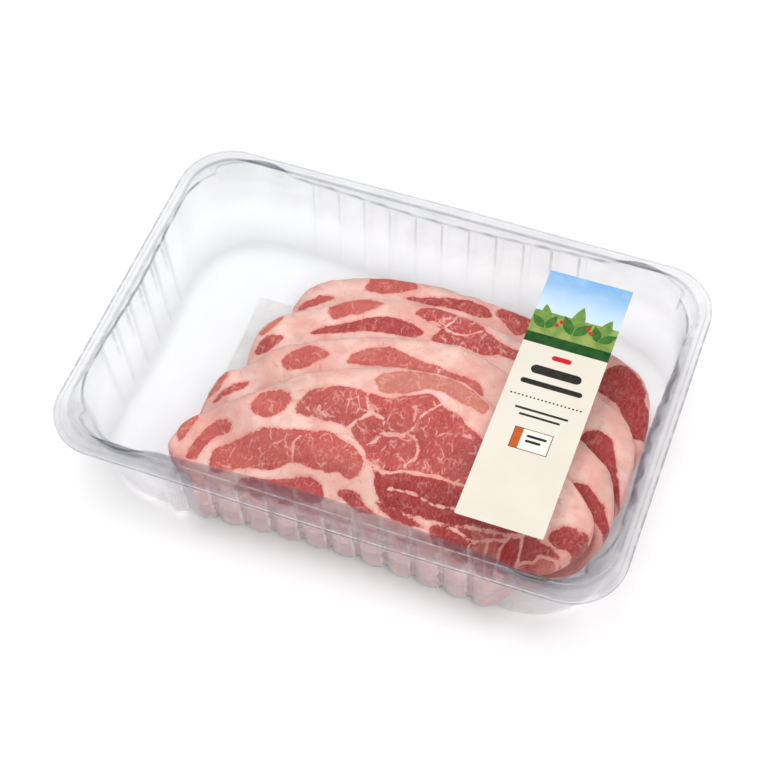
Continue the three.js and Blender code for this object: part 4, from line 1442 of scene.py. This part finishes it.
class TraySettings(bpy.types.PropertyGroup):
    """Sizes and finish of the tray, and the strength of its painted shade and painted reflection."""
    sheet_thickness: bpy.props.FloatProperty(
        name="Sheet", description="Thickness of the tray's sheet", default=0.7 * MM, min=0.3 * MM,
        max=1.2 * MM, unit="LENGTH", precision=5)
    # Strength of the painted shade on the land and lip at each face.
    painted_shade: bpy.props.FloatProperty(
        name="Smoke", description="How much light the sealed land and lip hold back at each face",
        default=0.165, min=0.0, max=1.0, subtype="FACTOR")
    # Strength of the lilac veil that paints reflected light on the land and lip.
    land_reflection_veil: bpy.props.FloatProperty(
        name="Land veil", description="How milky the land and lip are", default=0.025, min=0.0, max=1.0,
        subtype="FACTOR")
    # Strength of the white veil that paints the floor's reflection low on the front wall.
    painted_reflection: bpy.props.FloatProperty(
        name="Wall veil", description="How milky the wall is low at the front", default=0.19, min=0.0,
        max=1.0, subtype="FACTOR")


class FoodSettings(bpy.types.PropertyGroup):
    """Colours of the steaks and of the pad under them."""
    fat_colour: shade_property("Fat", "Colour of the pale fat", (238, 198, 186))
    fat_pink: shade_property("Pink fat", "Colour of the pinker fat", (228, 168, 156))
    rind_colour: shade_property("Rind", "Colour of the fat on the steaks' sides", (228, 152, 140))
    marbling_colour: shade_property("Marbling", "Colour of the lines in the muscle", (240, 184, 170))
    pad_colour: shade_property("Pad", "Colour of the absorbent pad", (230, 230, 229))
    dimple_pitch: bpy.props.FloatProperty(
        name="Dimple pitch", description="Distance between the pad's dimples", default=5.5 * MM, min=2 * MM,
        max=20 * MM, unit="LENGTH", precision=5)


class StageSettings(bpy.types.PropertyGroup):
    """Light of the studio."""
    studio_light: bpy.props.FloatProperty(
        name="Studio", description="Strength of the white room", default=0.45, min=0.0, max=4.0)
    key_power: bpy.props.FloatProperty(
        name="Key light", description="Power of the softbox over the pack", default=9.9, min=0.0,
        max=200.0, subtype="POWER")
    fill_power: bpy.props.FloatProperty(
        name="Fill light", description="Power of the softbox at the front right", default=7.8, min=0.0,
        max=200.0, subtype="POWER")


# Operators

class PACK_OT_tray(bpy.types.Operator):
    """Make the clear fluted tray"""
    bl_idname = "meat_pack.tray"
    bl_label = "Tray"

    def execute(self, context):
        made = make_tray(context.scene.pack_tray)
        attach(made, WHOLE)
        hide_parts("tray")
        return {"FINISHED"}


class PACK_OT_pad(bpy.types.Operator):
    """Make the embossed absorbent pad"""
    bl_idname = "meat_pack.pad"
    bl_label = "Absorbent pad"

    def execute(self, context):
        low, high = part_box("absorbent_pad")
        food = context.scene.pack_food
        values = {
            "Length": high[0] - low[0], "Width": high[1] - low[1], "Thickness": high[2] - low[2],
            "Pitch": food.dimple_pitch, "Depth": DIMPLE_DEPTH * MM, "Material": pad_material(food),
        }
        centre = [(a + b) / 2 for a, b in zip(low, high)]
        made = run_nodes("pad_sheet", pad_nodes(), values, centre)
        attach(made, WHOLE)
        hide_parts("absorbent_pad")
        return {"FINISHED"}


class PACK_OT_steaks(bpy.types.Operator):
    """Make the shingled pork steaks"""
    bl_idname = "meat_pack.steaks"
    bl_label = "Steaks"

    def execute(self, context):
        material = pork_material(context.scene.pack_food)
        names = list(STEAK_OUTLINES)
        below = []
        for seed, name in enumerate(names):
            above = names[seed + 1] if seed + 1 < len(names) else None
            made = make_steak(name, below, above, 11 + 7 * seed)
            made.data.materials.append(material)
            below.append(smooth_outline(STEAK_OUTLINES[name], 6))
            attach(made, WHOLE)
            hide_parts(name)
        return {"FINISHED"}


class PACK_OT_film(bpy.types.Operator):
    """Make the clear lidding film"""
    bl_idname = "meat_pack.film"
    bl_label = "Lidding film"

    def execute(self, context):
        made = make_film()
        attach(made, WHOLE)
        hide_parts("lid_film")
        return {"FINISHED"}


class PACK_OT_label(bpy.types.Operator):
    """Make the label's paper and its plain print"""
    bl_idname = "meat_pack.label"
    bl_label = "Label"

    def execute(self, context):
        low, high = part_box("label")
        top = high[2] / MM
        paper = make_paper(low, high, top - PRINT_STEPS * PRINT_LIFT)
        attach(paper, WHOLE)
        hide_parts("label")
        printed = make_print(low, top)
        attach(printed, WHOLE)
        values = {
            "Count": DOTS_COUNT, "Spacing": DOTS_LENGTH / (DOTS_COUNT - 1) * MM, "Radius": DOTS_RADIUS * MM,
            "Thickness": PRINT_LIFT * MM, "Material": bpy.data.materials["print_dark"],
        }
        start = (
            low[0] + (LABEL_WIDTH - DOTS_LENGTH) / 2 * MM, low[1] + DOTS_HEIGHT * MM,
            (top - (PRINT_STEPS - 0.5) * PRINT_LIFT) * MM)
        dots = run_nodes("label_dots", dots_nodes(), values, start)
        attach(dots, WHOLE)
        return {"FINISHED"}


class PACK_OT_stage(bpy.types.Operator):
    """Make the floor, the studio light and the camera"""
    bl_idname = "meat_pack.stage"
    bl_label = "Stage"

    def execute(self, context):
        stage = context.scene.pack_stage
        make_floor()
        make_world(stage)
        add_softbox("key_softbox", (-0.12, 0.16, 1.3), (0.0, 0.0, 0.0), 0.55, stage.key_power)
        add_softbox("fill_softbox", (0.65, -0.55, 1.0), (0.05, 0.0, 0.02), 0.9, stage.fill_power)
        make_camera()
        context.scene.view_settings.view_transform = "Standard"
        context.scene.cycles.transparent_max_bounces = 32
        return {"FINISHED"}


class PACK_PT_panel(bpy.types.Panel):
    """The pack's steps in the sidebar"""
    bl_idname = "PACK_PT_panel"
    bl_label = "Meat Tray Pack"
    bl_space_type = "VIEW_3D"
    bl_region_type = "UI"
    bl_category = "Meat Tray"

    def draw(self, context):
        for settings in (context.scene.pack_tray, context.scene.pack_food, context.scene.pack_stage):
            box = self.layout.box()
            for key in settings.__annotations__:
                box.prop(settings, key)
        for step in STEPS:
            self.layout.operator(step.bl_idname)


STEPS = (PACK_OT_tray, PACK_OT_pad, PACK_OT_steaks, PACK_OT_film, PACK_OT_label, PACK_OT_stage)
GROUPS = {"pack_tray": TraySettings, "pack_food": FoodSettings, "pack_stage": StageSettings}
CLASSES = (*GROUPS.values(), *STEPS, PACK_PT_panel)


def register():
    for item in CLASSES:
        bpy.utils.register_class(item)
    for key, group in GROUPS.items():
        setattr(bpy.types.Scene, key, bpy.props.PointerProperty(type=group))


def unregister():
    for key in GROUPS:
        delattr(bpy.types.Scene, key)
    for item in reversed(CLASSES):
        bpy.utils.unregister_class(item)


def main():
    register()
    bpy.ops.meat_pack.tray()
    bpy.ops.meat_pack.pad()
    bpy.ops.meat_pack.steaks()
    bpy.ops.meat_pack.film()
    bpy.ops.meat_pack.label()
    bpy.ops.meat_pack.stage()


if __name__ == "__main__":
    main()
